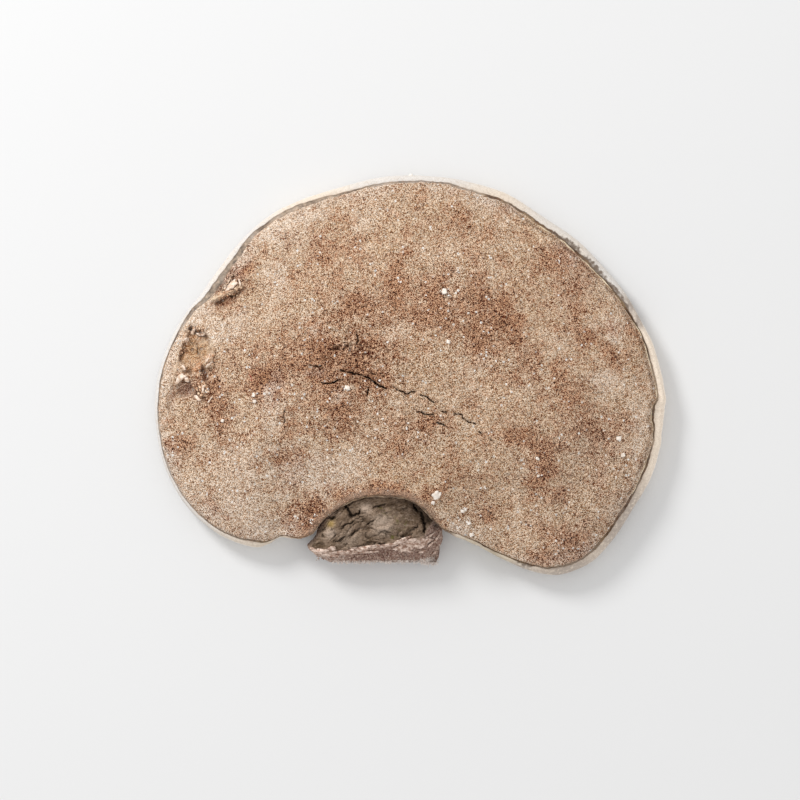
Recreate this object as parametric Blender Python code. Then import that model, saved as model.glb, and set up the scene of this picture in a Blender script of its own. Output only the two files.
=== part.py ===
"""A woody bracket fungus: a kidney-shaped shelf that lies on its flat pore face.

The cap, its blunt pale margin, the pore face and the old base in the notch grew as one piece,
so they are one solid. Its back is sawn off flat where it sat on the wood.

Units are metres, +Z is up. The origin is at the middle of the outline, on the resting plane.
+X is to the right and +Y is away from the base, so the sawn back faces -Y.
"""

import math

import bmesh
import bpy
import numpy as np
from mathutils import Vector

MM = 0.001

# Driving dimensions
CAP_WIDTH = 0.250
CAP_DEPTH = 0.1955
MARGIN_HEIGHT = 0.0125
DOME_RISE = 0.0235
DOME_REACH = 0.090
DOME_FULLNESS = 1.7
NOTCH_UNDERCUT = 0.0055
CUT_Y = -0.0913
CUTTER_SIZE = (0.075, 0.040, 0.080)

# How finely the cap is divided: meridians around it, rings of the crust and rings of the pore face
MERIDIANS = 116
CRUST_RINGS = 13
PORE_RINGS = 5
# The crust's rings stand closer together towards the margin, and stop just short of it
RING_SPREAD = 0.86
LAST_RING_SHARE = 0.976

# Outline seen from above, anticlockwise from the right, in millimetres: x, y and how far the
# brown crust stops short of the edge there
MARGIN_POINTS = [
    (124.9, -9.2, 4.1),
    (120.1, 11.4, 4.4),
    (114.7, 23.1, 3.3),
    (105.4, 39.7, 3.9),
    (93.7, 53.9, 4.3),
    (81.5, 66.1, 4.2),
    (67.3, 75.9, 4.2),
    (53.6, 85.1, 4.0),
    (43.8, 90.1, 4.7),
    (29.1, 94.5, 4.2),
    (15.0, 96.9, 3.2),
    (-2.0, 97.7, 3.6),
    (-19.8, 95.7, 3.6),
    (-49.2, 87.2, 3.4),
    (-66.3, 79.4, 3.2),
    (-78.5, 70.1, 3.2),
    (-87.3, 60.3, 4.2),
    (-96.1, 48.5, 4.6),
    (-103.0, 38.7, 4.2),
    (-108.9, 31.4, 2.8),
    (-117.2, 17.2, 2.2),
    (-122.6, 2.5, 2.0),
    (-124.8, -12.1, 2.0),
    (-124.0, -26.8, 1.6),
    (-121.1, -41.5, 1.7),
    (-116.2, -53.2, 1.8),
    (-109.3, -64.0, 2.0),
    (-100.0, -73.3, 2.2),
    (-89.3, -80.1, 2.6),
    (-76.6, -84.1, 3.6),
    (-69.4, -82.6, 2.4),
]
NOTCH_POINTS = [
    (-63.5, -79.4, 1.2),
    (-55.5, -80.4, 1.0),
    (-48.2, -78.0, 0.9),
    (-42.8, -71.3, 0.8),
    (-34.5, -65.0, 0.8),
    (-25.7, -60.6, 0.8),
    (-14.9, -59.3, 0.8),
    (-2.7, -60.6, 0.8),
    (5.0, -64.5, 0.8),
    (11.5, -71.0, 0.8),
    (18.6, -77.6, 1.0),
    (29.1, -81.8, 1.7),
]
LOBE_POINTS = [
    (42.8, -88.9, 3.3),
    (58.5, -95.6, 4.5),
    (73.1, -97.7, 4.6),
    (87.8, -91.9, 4.2),
    (98.6, -81.1, 4.2),
    (108.4, -66.4, 4.1),
    (117.2, -51.3, 4.7),
    (122.2, -36.0, 4.2),
    (123.1, -28.5, 4.4),
    (123.9, -22.5, 5.9),
    (124.6, -16.0, 5.8),
]

# The point that every meridian runs to, in the middle of the crust
CORE = np.array([-3.0, 2.0]) * MM

# Down the side of the blunt margin, from the crust's border to the foot. Inset, as a share of
# the crust's own setback; height, as a share of the margin's height; then, for the notch where
# the side is as tall as the cap, the shares of the extra height and of the undercut
MARGIN_SECTION = [
    (1.00, 1.00, 1.00, 0.0),
    (0.90, 0.93, 1.00, 0.0),
    (0.72, 0.97, 0.99, 0.0),
    (0.36, 0.93, 0.97, 0.0),
    (0.10, 0.78, 0.88, 0.1),
    (0.00, 0.58, 0.66, 0.9),
    (0.02, 0.38, 0.28, 1.0),
]
# Under the margin, where it rounds into the pore face: inset and height
FOOT_SECTION = [
    (0.0022, 0.0012),
    (0.0100, 0.0),
]

# Growth swellings of the crust: middle and half width, as distances from the margin, and height
SWELLINGS = [
    (0.013, 0.006, 0.0006),
    (0.030, 0.008, -0.0006),
    (0.047, 0.010, 0.0008),
]
# Broad humps of the crust: height, and how fast they come and go along X and Y
HUMP_HEIGHT = 0.0008
HUMP_TURNS = (71.0, 83.0)
HUMP_SHIFTS = (1.3, 0.4)

# The old base in the notch, seen from above in millimetres, before its back is sawn off
BASE_POINTS = [
    (16.0, -79.0),
    (12.5, -70.0),
    (-2.0, -57.0),
    (-16.0, -54.0),
    (-31.0, -58.0),
    (-42.0, -70.0),
    (-47.5, -79.5),
    (-50.2, -83.4),
    (-47.5, -87.0),
    (-42.0, -90.0),
    (-34.5, -93.2),
    (-20.0, -95.5),
    (-4.0, -95.5),
    (9.0, -94.5),
    (13.2, -89.5),
    (14.2, -84.5),
]
BASE_MIDDLE = np.array([-17.0, -77.0]) * MM
BASE_UNDERSIDE = 0.0015
BASE_MID_HEIGHT = 0.0090
BASE_FRONT_HEIGHT = 0.0190
BASE_BACKWARD_SLOPE = 0.34
# Powers that fill the ball out to a blunt lump, in plan and in height
BASE_PLAN_FILL = 0.8
BASE_HEIGHT_FILL = 0.5
# The splintered front: where it starts, how far it drops there and how steeply it goes on
SPLINTER_Y = -0.0845
SPLINTER_STEP = 0.0022
SPLINTER_SLOPE = 0.62
# Slanting ledges in the old flesh: their spacing and height, the share of the spacing that their
# steep side takes, the way they run, and how far and how fast they wander
BASE_LEDGE_SPACING = 0.0068
BASE_LEDGE_HEIGHT = 0.0020
BASE_LEDGE_STEEP_SHARE = 0.18
BASE_LEDGE_TURN = math.radians(32.0)
BASE_LEDGE_WANDER = 0.0022
BASE_LEDGE_WANDER_TURNS = 190.0

# Worn hollows near the left edge: x, y, half length, half width and depth in millimetres,
# and how far the long side is turned from the X axis in degrees
HOLLOWS = [
    (-104.4, 9.8, 10.4, 7.2, 2.7, 82.0),
    (-110.6, -7.0, 5.6, 4.2, 1.4, 25.0),
    (-88.6, 37.6, 7.6, 3.6, 1.8, 34.0),
]
HOLLOW_RAGGEDNESS = 0.13
HOLLOW_LOBES = 5

# A torn flake of crust that stands up above the last hollow, in millimetres
FLAKE_FOOT = Vector((-97.5, 37.8, 0.0)) * MM
FLAKE_TIP = Vector((-83.4, 46.8, 0.0)) * MM
FLAKE_FOOT_WIDTH = 0.0058
FLAKE_TIP_WIDTH = 0.0032
FLAKE_FOOT_HEIGHT = 0.0012
FLAKE_TIP_HEIGHT = 0.0046

# The drying crack across the middle, from left to right in millimetres: x, y and its width
CRACK_POINTS = [
    (-35.6, 3.3, 0.5),
    (-31.5, 1.7, 0.9),
    (-23.7, -0.2, 1.2),
    (-17.2, -5.0, 1.7),
    (-11.2, -6.6, 1.9),
    (-6.1, -7.9, 1.2),
    (-1.5, -9.2, 1.6),
    (3.2, -8.6, 1.0),
    (8.4, -11.7, 1.4),
    (12.0, -13.4, 0.5),
]
SECOND_CRACK_POINTS = [
    (2.2, -18.1, 0.5),
    (7.9, -19.1, 1.1),
    (12.4, -18.4, 0.9),
    (18.4, -19.2, 1.3),
    (25.3, -21.0, 1.2),
    (29.8, -23.6, 1.0),
    (33.6, -24.2, 0.4),
]
CRACK_DEPTH = 0.0032
CRACK_CUTTER_HALF_HEIGHT = 0.012
CAP_WELD = 0.00001

CRUST_COLOUR = (0.450, 0.290, 0.195, 1.0)
CRUST_ROUGHNESS = 0.9
SHARP_ANGLE = math.radians(40.0)


def clear_scene():
    for item in list(bpy.data.objects):
        bpy.data.objects.remove(item, do_unlink=True)


def make_collection(name):
    collection = bpy.data.collections.new(name)
    bpy.context.scene.collection.children.link(collection)
    return collection


def make_material(name, colour, roughness):
    material = bpy.data.materials.new(name)
    material.use_nodes = True
    shader = material.node_tree.nodes["Principled BSDF"]
    shader.inputs["Base Color"].default_value = colour
    shader.inputs["Roughness"].default_value = roughness
    shader.inputs["Metallic"].default_value = 0.0
    return material


def object_from_bmesh(name, bm, collection):
    mesh = bpy.data.meshes.new(name)
    bm.to_mesh(mesh)
    bm.free()
    piece = bpy.data.objects.new(name, mesh)
    collection.objects.link(piece)
    return piece


def smooth_loop(points, steps=24):
    """A closed Catmull-Rom curve through the points, with its columns kept together."""
    points = np.array(points, dtype=float)
    t = (np.arange(steps) / steps)[:, None]
    stretches = []
    for index in range(len(points)):
        p0, p1, p2, p3 = (points[(index + shift) % len(points)] for shift in (-1, 0, 1, 2))
        stretches.append(0.5 * (2 * p1 + (p2 - p0) * t + (2 * p0 - 5 * p1 + 4 * p2 - p3) * t ** 2
                                + (3 * p1 - p0 - 3 * p2 + p3) * t ** 3))
    return np.vstack(stretches)


def fitted_outline():
    """The whole outline in metres, fitted to the cap's width and depth and centred on the origin."""
    loop = smooth_loop(MARGIN_POINTS + NOTCH_POINTS + LOBE_POINTS) * MM
    low = loop[:, :2].min(axis=0)
    high = loop[:, :2].max(axis=0)
    loop[:, :2] = (loop[:, :2] - (low + high) / 2) * np.array([CAP_WIDTH, CAP_DEPTH]) / (high - low)
    return loop


def growing_edge(loop):
    """The part of the outline that is the growing margin, without the notch."""
    steps = len(loop) // len(MARGIN_POINTS + NOTCH_POINTS + LOBE_POINTS)
    first = len(MARGIN_POINTS) * steps
    last = first + len(NOTCH_POINTS) * steps
    return np.vstack([loop[last:], loop[:first]])[:, :2]


def evenly_along(loop, count):
    """The outline's columns at evenly spaced places, starting at its first point."""
    closed = np.vstack([loop, loop[:1]])
    lengths = np.linalg.norm(np.diff(closed[:, :2], axis=0), axis=1)
    travelled = np.concatenate([[0.0], np.cumsum(lengths)])
    places = np.arange(count) / count * travelled[-1]
    return np.column_stack([np.interp(places, travelled, closed[:, column]) for column in range(3)])


def smooth_step(value):
    value = min(max(value, 0.0), 1.0)
    return value * value * (3.0 - 2.0 * value)


def crust_height(x, y, edge):
    """Height of the crust over a place in plan: thin at the growing edge, thick by the base."""
    distance = float(np.min(np.hypot(edge[:, 0] - x, edge[:, 1] - y)))
    share = min(distance / DOME_REACH, 1.0)
    height = MARGIN_HEIGHT + DOME_RISE * (1.0 - (1.0 - share) ** DOME_FULLNESS)
    for middle, half_width, rise in SWELLINGS:
        height += rise * math.exp(-((distance - middle) / half_width) ** 2)
    hump = math.sin(x * HUMP_TURNS[0] + HUMP_SHIFTS[0]) * math.sin(y * HUMP_TURNS[1] + HUMP_SHIFTS[1])
    return height + HUMP_HEIGHT * hump


def cap_point(ring, margin, edge):
    """Where one point of the sphere goes. Ring 0 is the innermost ring of the crust."""
    side = np.array(margin[:2])
    setback = margin[2]
    inward = (CORE - side) / np.linalg.norm(CORE - side)
    extra = crust_height(side[0], side[1], edge) - MARGIN_HEIGHT
    undercut = NOTCH_UNDERCUT * smooth_step(extra / (2.0 * NOTCH_UNDERCUT))
    foot_ring = ring - CRUST_RINGS - len(MARGIN_SECTION)

    if ring < CRUST_RINGS:
        share = LAST_RING_SHARE * (max(ring + 1, 0) / CRUST_RINGS) ** RING_SPREAD
        x, y = CORE + (side + inward * setback - CORE) * share
        return Vector((x, y, crust_height(x, y, edge)))

    if foot_ring < 0:
        inset, height, extra_share, undercut_share = MARGIN_SECTION[ring - CRUST_RINGS]
        x, y = side + inward * (setback * inset + undercut * undercut_share)
        if ring == CRUST_RINGS:
            return Vector((x, y, crust_height(x, y, edge)))
        return Vector((x, y, MARGIN_HEIGHT * height + extra * extra_share))

    if foot_ring < len(FOOT_SECTION):
        inset, height = FOOT_SECTION[foot_ring]
        x, y = side + inward * (inset + undercut)
        return Vector((x, y, height))

    last_inset = FOOT_SECTION[-1][0] + undercut
    foot = side + inward * last_inset
    share = min((foot_ring - len(FOOT_SECTION) + 1) / (PORE_RINGS + 1), 1.0)
    x, y = foot + (CORE - foot) * share
    return Vector((x, y, 0.0))


def make_cap(collection):
    """A sphere whose rings become the crust, the blunt margin and the pore face."""
    loop = fitted_outline()
    edge = growing_edge(loop)
    margin = evenly_along(loop, MERIDIANS)
    ring_count = CRUST_RINGS + len(MARGIN_SECTION) + len(FOOT_SECTION) + PORE_RINGS

    bm = bmesh.new()
    bmesh.ops.create_uvsphere(bm, u_segments=MERIDIANS, v_segments=ring_count + 1, radius=1.0)
    for vert in bm.verts:
        tilt = math.acos(min(max(vert.co.z, -1.0), 1.0))
        ring = round(tilt / math.pi * (ring_count + 1)) - 1
        meridian = round(math.atan2(vert.co.y, vert.co.x) / math.tau * MERIDIANS) % MERIDIANS
        vert.co = cap_point(ring, margin[meridian], edge)
    return object_from_bmesh("bracket", bm, collection)


def base_top(x, y):
    """Height of the old base's upper side: it climbs under the crust in slanting ledges."""
    height = BASE_FRONT_HEIGHT + BASE_BACKWARD_SLOPE * (y - SPLINTER_Y)
    across = x * math.sin(BASE_LEDGE_TURN) - y * math.cos(BASE_LEDGE_TURN)
    across += BASE_LEDGE_WANDER * math.sin(x * BASE_LEDGE_WANDER_TURNS)
    ledge = (across / BASE_LEDGE_SPACING) % 1.0
    steep = smooth_step((ledge - 1.0) / BASE_LEDGE_STEEP_SHARE + 1.0)
    height += BASE_LEDGE_HEIGHT * (0.5 - ledge + steep)
    if y < SPLINTER_Y:
        height = BASE_FRONT_HEIGHT - SPLINTER_STEP - SPLINTER_SLOPE * (SPLINTER_Y - y)
    return height


def make_base(collection):
    """The old base: a ball drawn out to the lump's own outline, blunt at its sides."""
    outline = smooth_loop(BASE_POINTS) * MM - BASE_MIDDLE
    turns = np.unwrap(np.arctan2(outline[:, 1], outline[:, 0]))
    reaches = np.hypot(outline[:, 0], outline[:, 1])

    bm = bmesh.new()
    bmesh.ops.create_icosphere(bm, subdivisions=4, radius=1.0)
    for vert in bm.verts:
        way = vert.co.copy()
        turn = math.atan2(way.y, way.x)
        reach = np.interp(turn, turns, reaches, period=math.tau)
        reach *= math.hypot(way.x, way.y) ** BASE_PLAN_FILL
        x = BASE_MIDDLE[0] + reach * math.cos(turn)
        y = BASE_MIDDLE[1] + reach * math.sin(turn)
        end = base_top(x, y) if way.z > 0.0 else BASE_UNDERSIDE
        height = BASE_MID_HEIGHT + (end - BASE_MID_HEIGHT) * abs(way.z) ** BASE_HEIGHT_FILL
        vert.co = Vector((x, y, height))
    return object_from_bmesh("base_lump", bm, collection)


def make_cut_box(collection):
    """Takes away whatever of the base reaches past the sawn back."""
    width, depth, height = CUTTER_SIZE
    bm = bmesh.new()
    bmesh.ops.create_cube(bm, size=1.0)
    bmesh.ops.scale(bm, vec=(width, depth, height), verts=bm.verts)
    bmesh.ops.translate(bm, vec=(BASE_MIDDLE[0], CUT_Y - depth / 2, height / 4), verts=bm.verts)
    return object_from_bmesh("back_cutter", bm, collection)


def make_hollow(index, hollow, edge, collection):
    """A flattened lump that scoops a worn hollow out of the crust."""
    x, y, half_length, half_width, depth = (value * MM for value in hollow[:5])
    turn = math.radians(hollow[5])
    bm = bmesh.new()
    bmesh.ops.create_icosphere(bm, subdivisions=2, radius=1.0)
    for vert in bm.verts:
        lobe = math.sin(HOLLOW_LOBES * math.atan2(vert.co.y, vert.co.x) + index)
        wobble = 1.0 + HOLLOW_RAGGEDNESS * lobe
        along = vert.co.x * half_length * wobble
        across = vert.co.y * half_width * wobble
        vert.co = Vector((x + along * math.cos(turn) - across * math.sin(turn),
                          y + along * math.sin(turn) + across * math.cos(turn),
                          crust_height(x, y, edge) + vert.co.z * depth))
    return object_from_bmesh(f"hollow_cutter_{index + 1}", bm, collection)


def make_flake(edge, collection):
    """A torn tongue of crust, its tip lifted."""
    along = FLAKE_TIP - FLAKE_FOOT
    across = Vector((-along.y, along.x, 0.0)).normalized()
    bm = bmesh.new()
    bmesh.ops.create_icosphere(bm, subdivisions=2, radius=1.0)
    for vert in bm.verts:
        reach = 0.5 + 0.5 * vert.co.x
        width = FLAKE_FOOT_WIDTH + (FLAKE_TIP_WIDTH - FLAKE_FOOT_WIDTH) * reach
        lift = FLAKE_FOOT_HEIGHT + (FLAKE_TIP_HEIGHT - FLAKE_FOOT_HEIGHT) * reach
        place = FLAKE_FOOT + along * reach + across * vert.co.y * width / 2
        place.z = crust_height(place.x, place.y, edge) + lift * (0.5 + vert.co.z) / 1.5
        vert.co = place
    return object_from_bmesh("flake_lump", bm, collection)


def crack_outline(points):
    """Both banks of a crack, out along one and back along the other."""
    banks = ([], [])
    for index, (x, y, width) in enumerate(points):
        before = points[max(index - 1, 0)]
        after = points[min(index + 1, len(points) - 1)]
        run = (after - before)[:2] / np.linalg.norm((after - before)[:2])
        for bank, side in zip(banks, (-0.5, 0.5)):
            bank.append((x + side * width * run[1], y - side * width * run[0]))
    return banks[0] + banks[1][::-1]


def make_crack(name, points, edge, collection):
    """A thin zigzag outline, extruded, that opens a drying crack."""
    points = np.array(points) * MM
    outline = crack_outline(points)
    curve = bpy.data.curves.new(name, "CURVE")
    curve.dimensions = "2D"
    curve.fill_mode = "BOTH"
    curve.extrude = CRACK_CUTTER_HALF_HEIGHT
    spline = curve.splines.new("POLY")
    spline.points.add(len(outline) - 1)
    for point, (x, y) in zip(spline.points, outline):
        point.co = (x, y, 0.0, 1.0)
    spline.use_cyclic_u = True

    guide = bpy.data.objects.new(f"{name}_curve", curve)
    collection.objects.link(guide)
    middle = points[len(points) // 2]
    guide.location.z = crust_height(middle[0], middle[1], edge) - CRACK_DEPTH + curve.extrude
    return mesh_from_curve(name, guide, collection)


def mesh_from_curve(name, guide, collection):
    """A closed mesh in the place of an extruded curve, which is then removed."""
    bpy.context.view_layer.update()
    shape = guide.evaluated_get(bpy.context.evaluated_depsgraph_get())
    mesh = bpy.data.meshes.new_from_object(shape)
    bm = bmesh.new()
    bm.from_mesh(mesh)
    bmesh.ops.remove_doubles(bm, verts=bm.verts, dist=CAP_WELD)
    bmesh.ops.recalc_face_normals(bm, faces=bm.faces)
    bm.to_mesh(mesh)
    bm.free()
    solid = bpy.data.objects.new(name, mesh)
    solid.matrix_world = guide.matrix_world
    collection.objects.link(solid)
    bpy.data.objects.remove(guide, do_unlink=True)
    return solid


def add_boolean(piece, operation, helper):
    helper.hide_render = True
    helper.display_type = "WIRE"
    modifier = piece.modifiers.new(helper.name, "BOOLEAN")
    modifier.operation = operation
    modifier.solver = "EXACT"
    modifier.object = helper


def build():
    clear_scene()
    parts = make_collection("bracket_fungus")
    helpers = make_collection("cutters")

    edge = growing_edge(fitted_outline())
    bracket = make_cap(parts)
    add_boolean(bracket, "UNION", make_base(helpers))
    add_boolean(bracket, "DIFFERENCE", make_cut_box(helpers))
    add_boolean(bracket, "UNION", make_flake(edge, helpers))
    for index, hollow in enumerate(HOLLOWS):
        add_boolean(bracket, "DIFFERENCE", make_hollow(index, hollow, edge, helpers))
    add_boolean(bracket, "DIFFERENCE", make_crack("long_crack", CRACK_POINTS, edge, helpers))
    add_boolean(bracket, "DIFFERENCE", make_crack("short_crack", SECOND_CRACK_POINTS, edge, helpers))

    bracket.data.materials.append(make_material("crust", CRUST_COLOUR, CRUST_ROUGHNESS))
    bracket.data.shade_smooth()
    bracket.data.set_sharp_from_angle(angle=SHARP_ANGLE)


build()
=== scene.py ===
# A woody bracket fungus lying on its pore face, seen from straight above.
# Everything is in metres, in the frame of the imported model: +X to the right, +Y away from the base, +Z up.
import itertools
import math

import bpy
import numpy as np
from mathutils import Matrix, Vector


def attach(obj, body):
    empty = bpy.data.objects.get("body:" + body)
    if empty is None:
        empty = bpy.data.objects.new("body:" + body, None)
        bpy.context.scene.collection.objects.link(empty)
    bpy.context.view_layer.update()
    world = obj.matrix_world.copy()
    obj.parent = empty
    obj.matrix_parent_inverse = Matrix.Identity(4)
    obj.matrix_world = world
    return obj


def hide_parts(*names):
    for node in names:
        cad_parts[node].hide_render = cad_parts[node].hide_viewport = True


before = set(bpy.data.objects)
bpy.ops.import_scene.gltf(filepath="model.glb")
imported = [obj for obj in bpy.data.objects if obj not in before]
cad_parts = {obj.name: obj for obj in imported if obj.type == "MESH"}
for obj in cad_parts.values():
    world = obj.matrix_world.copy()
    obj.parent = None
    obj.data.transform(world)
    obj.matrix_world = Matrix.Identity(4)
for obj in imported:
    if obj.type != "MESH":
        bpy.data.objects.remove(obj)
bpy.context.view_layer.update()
mm = 0.001

# Some places are written as they are read off the 800 by 800 picture, in its pixels
photoStep = 0.48924 * mm
photoMiddle = (410.5, 375.2)


def fromPhoto(points):
    places = np.array(points, dtype=float)
    places[:, 0] = (places[:, 0] - photoMiddle[0]) * photoStep
    places[:, 1] = (photoMiddle[1] - places[:, 1]) * photoStep
    return places


# Helpers for meshes


def selectOnly(*pieces):
    bpy.ops.object.select_all(action="DESELECT")
    for piece in pieces:
        piece.select_set(True)
    bpy.context.view_layer.objects.active = pieces[0]


def newPiece(name):
    piece = bpy.context.object
    piece.name = name
    piece.data.name = name
    return piece


def startPiece(name, addPrimitive, **settings):
    # the primitive that a piece is shaped from
    bpy.ops.object.select_all(action="DESELECT")
    addPrimitive(**settings)
    return newPiece(name)


def getPoints(piece, kind="co"):
    found = np.empty(len(piece.data.vertices) * 3)
    piece.data.vertices.foreach_get(kind, found)
    return found.reshape(-1, 3)


def setPoints(piece, places):
    piece.data.vertices.foreach_set("co", np.ascontiguousarray(places, dtype=float).ravel())
    piece.data.update()


def getCorners(piece, sides=4):
    # the corners of each face, for a mesh whose faces all have as many
    corners = np.empty(len(piece.data.loops), dtype=np.int32)
    piece.data.loops.foreach_get("vertex_index", corners)
    return corners.reshape(-1, sides)


def editWith(piece, faces=None, edges=None):
    # opens edit mode with just these faces or edges selected
    selectOnly(piece)
    bpy.context.tool_settings.mesh_select_mode = (False, faces is None, faces is not None)
    mesh = piece.data
    for parts, chosen in ((mesh.vertices, None), (mesh.edges, edges), (mesh.polygons, faces)):
        parts.foreach_set("select", np.zeros(len(parts), dtype=bool) if chosen is None else chosen)
    bpy.ops.object.mode_set(mode="EDIT")


def faceOutwards(piece):
    selectOnly(piece)
    bpy.ops.object.mode_set(mode="EDIT")
    bpy.ops.mesh.select_all(action="SELECT")
    bpy.ops.mesh.normals_make_consistent(inside=False)
    bpy.ops.object.mode_set(mode="OBJECT")


def store(piece, name, values):
    layer = piece.data.attributes.new(name, "FLOAT", "POINT")
    layer.data.foreach_set("value", np.ascontiguousarray(values, dtype=np.float32))


def dress(piece, material, replaced=None):
    piece.data.materials.clear()
    piece.data.materials.append(material)
    selectOnly(piece)
    bpy.ops.object.shade_smooth()
    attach(piece, "root")
    if replaced:
        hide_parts(replaced)
    print("made", piece.name, len(piece.data.polygons), "faces")


# Numbers that look random and are the same each run
octaveFade = 0.55


def hashed(cells, seed):
    mixed = np.full(len(cells), (seed * 2654435761) % 4294967296, dtype=np.uint32)
    for column, factor in zip(cells.T, (374761393, 668265263, 2246822519)):
        mixed ^= column.astype(np.uint32) * np.uint32(factor)
        mixed ^= mixed >> np.uint32(15)
        mixed *= np.uint32(2246822519)
        mixed ^= mixed >> np.uint32(13)
        mixed *= np.uint32(3266489917)
        mixed ^= mixed >> np.uint32(16)
    return mixed / 4294967295.0


def smoothNoise(places, size, seed, octaves=1):
    # soft hills about as wide as size, from -1 to 1
    total = np.zeros(len(places))
    weight = 1.0
    for octave in range(octaves):
        grid = places * (2 ** octave / size) + 0.37 * (seed % 7 + octave) + 19.0
        cell = np.floor(grid).astype(np.int64)
        part = grid - cell
        part = part * part * (3.0 - 2.0 * part)
        value = np.zeros(len(places))
        for corner in itertools.product((0, 1), repeat=places.shape[1]):
            corner = np.array(corner)
            share = np.prod(np.where(corner, part, 1.0 - part), axis=1)
            value += share * hashed(cell + corner, seed + octave)
        total += weight * (2.0 * value - 1.0)
        weight *= octaveFade
    return total / sum(octaveFade ** octave for octave in range(octaves))


def shaken(places, reach, size, seeds, octaves):
    # places moved aside at random, which makes what is drawn at them ragged
    return places + reach * np.column_stack([smoothNoise(places, size, seed, octaves) for seed in seeds])


def grains(places, size, seed):
    # how near the closest of many scattered middles is, and that grain's own number from 0 to 1
    grid = places / size + 31.0
    cell = np.floor(grid).astype(np.int64)
    nearest = np.full(len(places), 9.0)
    own = np.zeros(len(places))
    for shift in itertools.product((-1, 0, 1), repeat=places.shape[1]):
        there = cell + np.array(shift)
        jitter = np.column_stack([hashed(there, seed + turn) for turn in range(places.shape[1])])
        gap = np.linalg.norm(there + jitter - grid, axis=1)
        closer = gap < nearest
        nearest = np.where(closer, gap, nearest)
        own = np.where(closer, hashed(there, seed + 9), own)
    return nearest, own


def ramp(values, low, high):
    # 0 up to low, 1 from high on, and smooth between them
    share = np.clip((values - low) / (high - low), 0.0, 1.0)
    return share * share * (3.0 - 2.0 * share)


# Lines in plan
loopSteps = 24
batch = 4000  # places that are worked on at once


def curveBetween(p0, p1, p2, p3, t):
    # the smooth curve from p1 to p2, with the points before and after them
    return 0.5 * (2 * p1 + (p2 - p0) * t + (2 * p0 - 5 * p1 + 4 * p2 - p3) * t ** 2
                  + (3 * p1 - p0 - 3 * p2 + p3) * t ** 3)


def smoothLoop(points, steps=loopSteps):
    points = np.array(points, dtype=float)
    t = (np.arange(steps) / steps)[:, None]
    return np.vstack([curveBetween(*(points[(index + shift) % len(points)] for shift in (-1, 0, 1, 2)), t)
                      for index in range(len(points))])


def evenlyAlong(loop, count, closed=True):
    line = np.vstack([loop, loop[:1]]) if closed else loop
    travelled = np.concatenate([[0.0], np.cumsum(np.linalg.norm(np.diff(line[:, :2], axis=0), axis=1))])
    places = np.arange(count) / count * travelled[-1] if closed else np.linspace(0.0, travelled[-1], count)
    return np.column_stack([np.interp(places, travelled, column) for column in line.T])


def nearestOn(places, line, closed=True):
    # the gap to a finely divided line, the place on it, and how far along its points that is
    starts = line if closed else line[:-1]
    ends = np.roll(line, -1, axis=0) if closed else line[1:]
    half = (line ** 2).sum(axis=1) / 2.0
    found = []
    for first in range(0, len(places), batch):
        part = places[first:first + batch]
        nearest = np.argmin(half - part @ line.T, axis=1)
        gap = np.full(len(part), 9.0)
        spot = np.zeros_like(part)
        where = np.zeros(len(part))
        for stretch in (nearest - 1, nearest):
            stretch = stretch % len(starts) if closed else np.clip(stretch, 0, len(starts) - 1)
            start = starts[stretch]
            run = ends[stretch] - start
            along = ((part - start) * run).sum(axis=1) / np.maximum((run ** 2).sum(axis=1), 1e-18)
            along = np.clip(along, 0.0, 1.0)
            there = start + run * along[:, None]
            away = np.linalg.norm(part - there, axis=1)
            closer = away < gap
            gap = np.where(closer, away, gap)
            spot = np.where(closer[:, None], there, spot)
            where = np.where(closer, stretch + along, where)
        found.append((gap, spot, where))
    return tuple(np.concatenate(columns) for columns in zip(*found))


def insideOf(places, line):
    following = np.roll(line, -1, axis=0)
    rise = following[:, 1] - line[:, 1]
    rise = np.where(rise == 0.0, 1e-12, rise)
    answers = []
    for first in range(0, len(places), batch):
        x = places[first:first + batch, :1]
        y = places[first:first + batch, 1:2]
        crosses = (line[:, 1] > y) != (following[:, 1] > y)
        at = line[:, 0] + (y - line[:, 1]) * (following[:, 0] - line[:, 0]) / rise
        answers.append((crosses & (x < at)).sum(axis=1) % 2 == 1)
    return np.concatenate(answers)


def roughLine(points, wiggle, wave, seed):
    # points with a width column, made jagged; the width comes and goes
    points = np.array(points, dtype=float)
    length = np.linalg.norm(np.diff(points[:, :2], axis=0), axis=1).sum()
    line = evenlyAlong(points, max(int(length / (0.25 * mm)), 8), closed=False)
    run = np.gradient(line[:, :2], axis=0)
    run /= np.linalg.norm(run, axis=1)[:, None]
    aside = np.column_stack([-run[:, 1], run[:, 0]])
    away = wiggle * smoothNoise(line[:, :2], wave, seed, 2)
    away = away + 0.8 * wiggle * smoothNoise(line[:, :2], 1.1 * mm, seed + 3)
    fade = np.clip(np.minimum(np.arange(len(line)), np.arange(len(line))[::-1]) / 6.0, 0.0, 1.0)
    line[:, :2] += aside * (away * fade)[:, None]
    line[:, 2] *= (1.0 + 0.95 * smoothNoise(line[:, :2], 1.8 * mm, seed + 5, 2)) * (0.35 + 0.65 * fade)
    return line


def photoLine(points, wiggle, wave, seed):
    # a jagged line through pixels of the picture, each with a width or height in millimetres
    points = np.array(points)
    return roughLine(np.column_stack([fromPhoto(points[:, :2]), points[:, 2] * mm]), wiggle, wave, seed)


def covered(places, ellipses, spread, power=1.0, most=1.0):
    # how far ellipses cover each place together: x, y, reach along x and y in pixels, and strength
    bare = np.ones(len(places))
    for x, y, reachX, reachY, strength in ellipses:
        away = (places - fromPhoto([(x, y)])[0]) / (np.array([reachX, reachY]) * photoStep)
        bare *= 1.0 - np.minimum(strength * np.exp(-spread * (away ** 2).sum(axis=1) ** power), most)
    return 1.0 - bare


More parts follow.
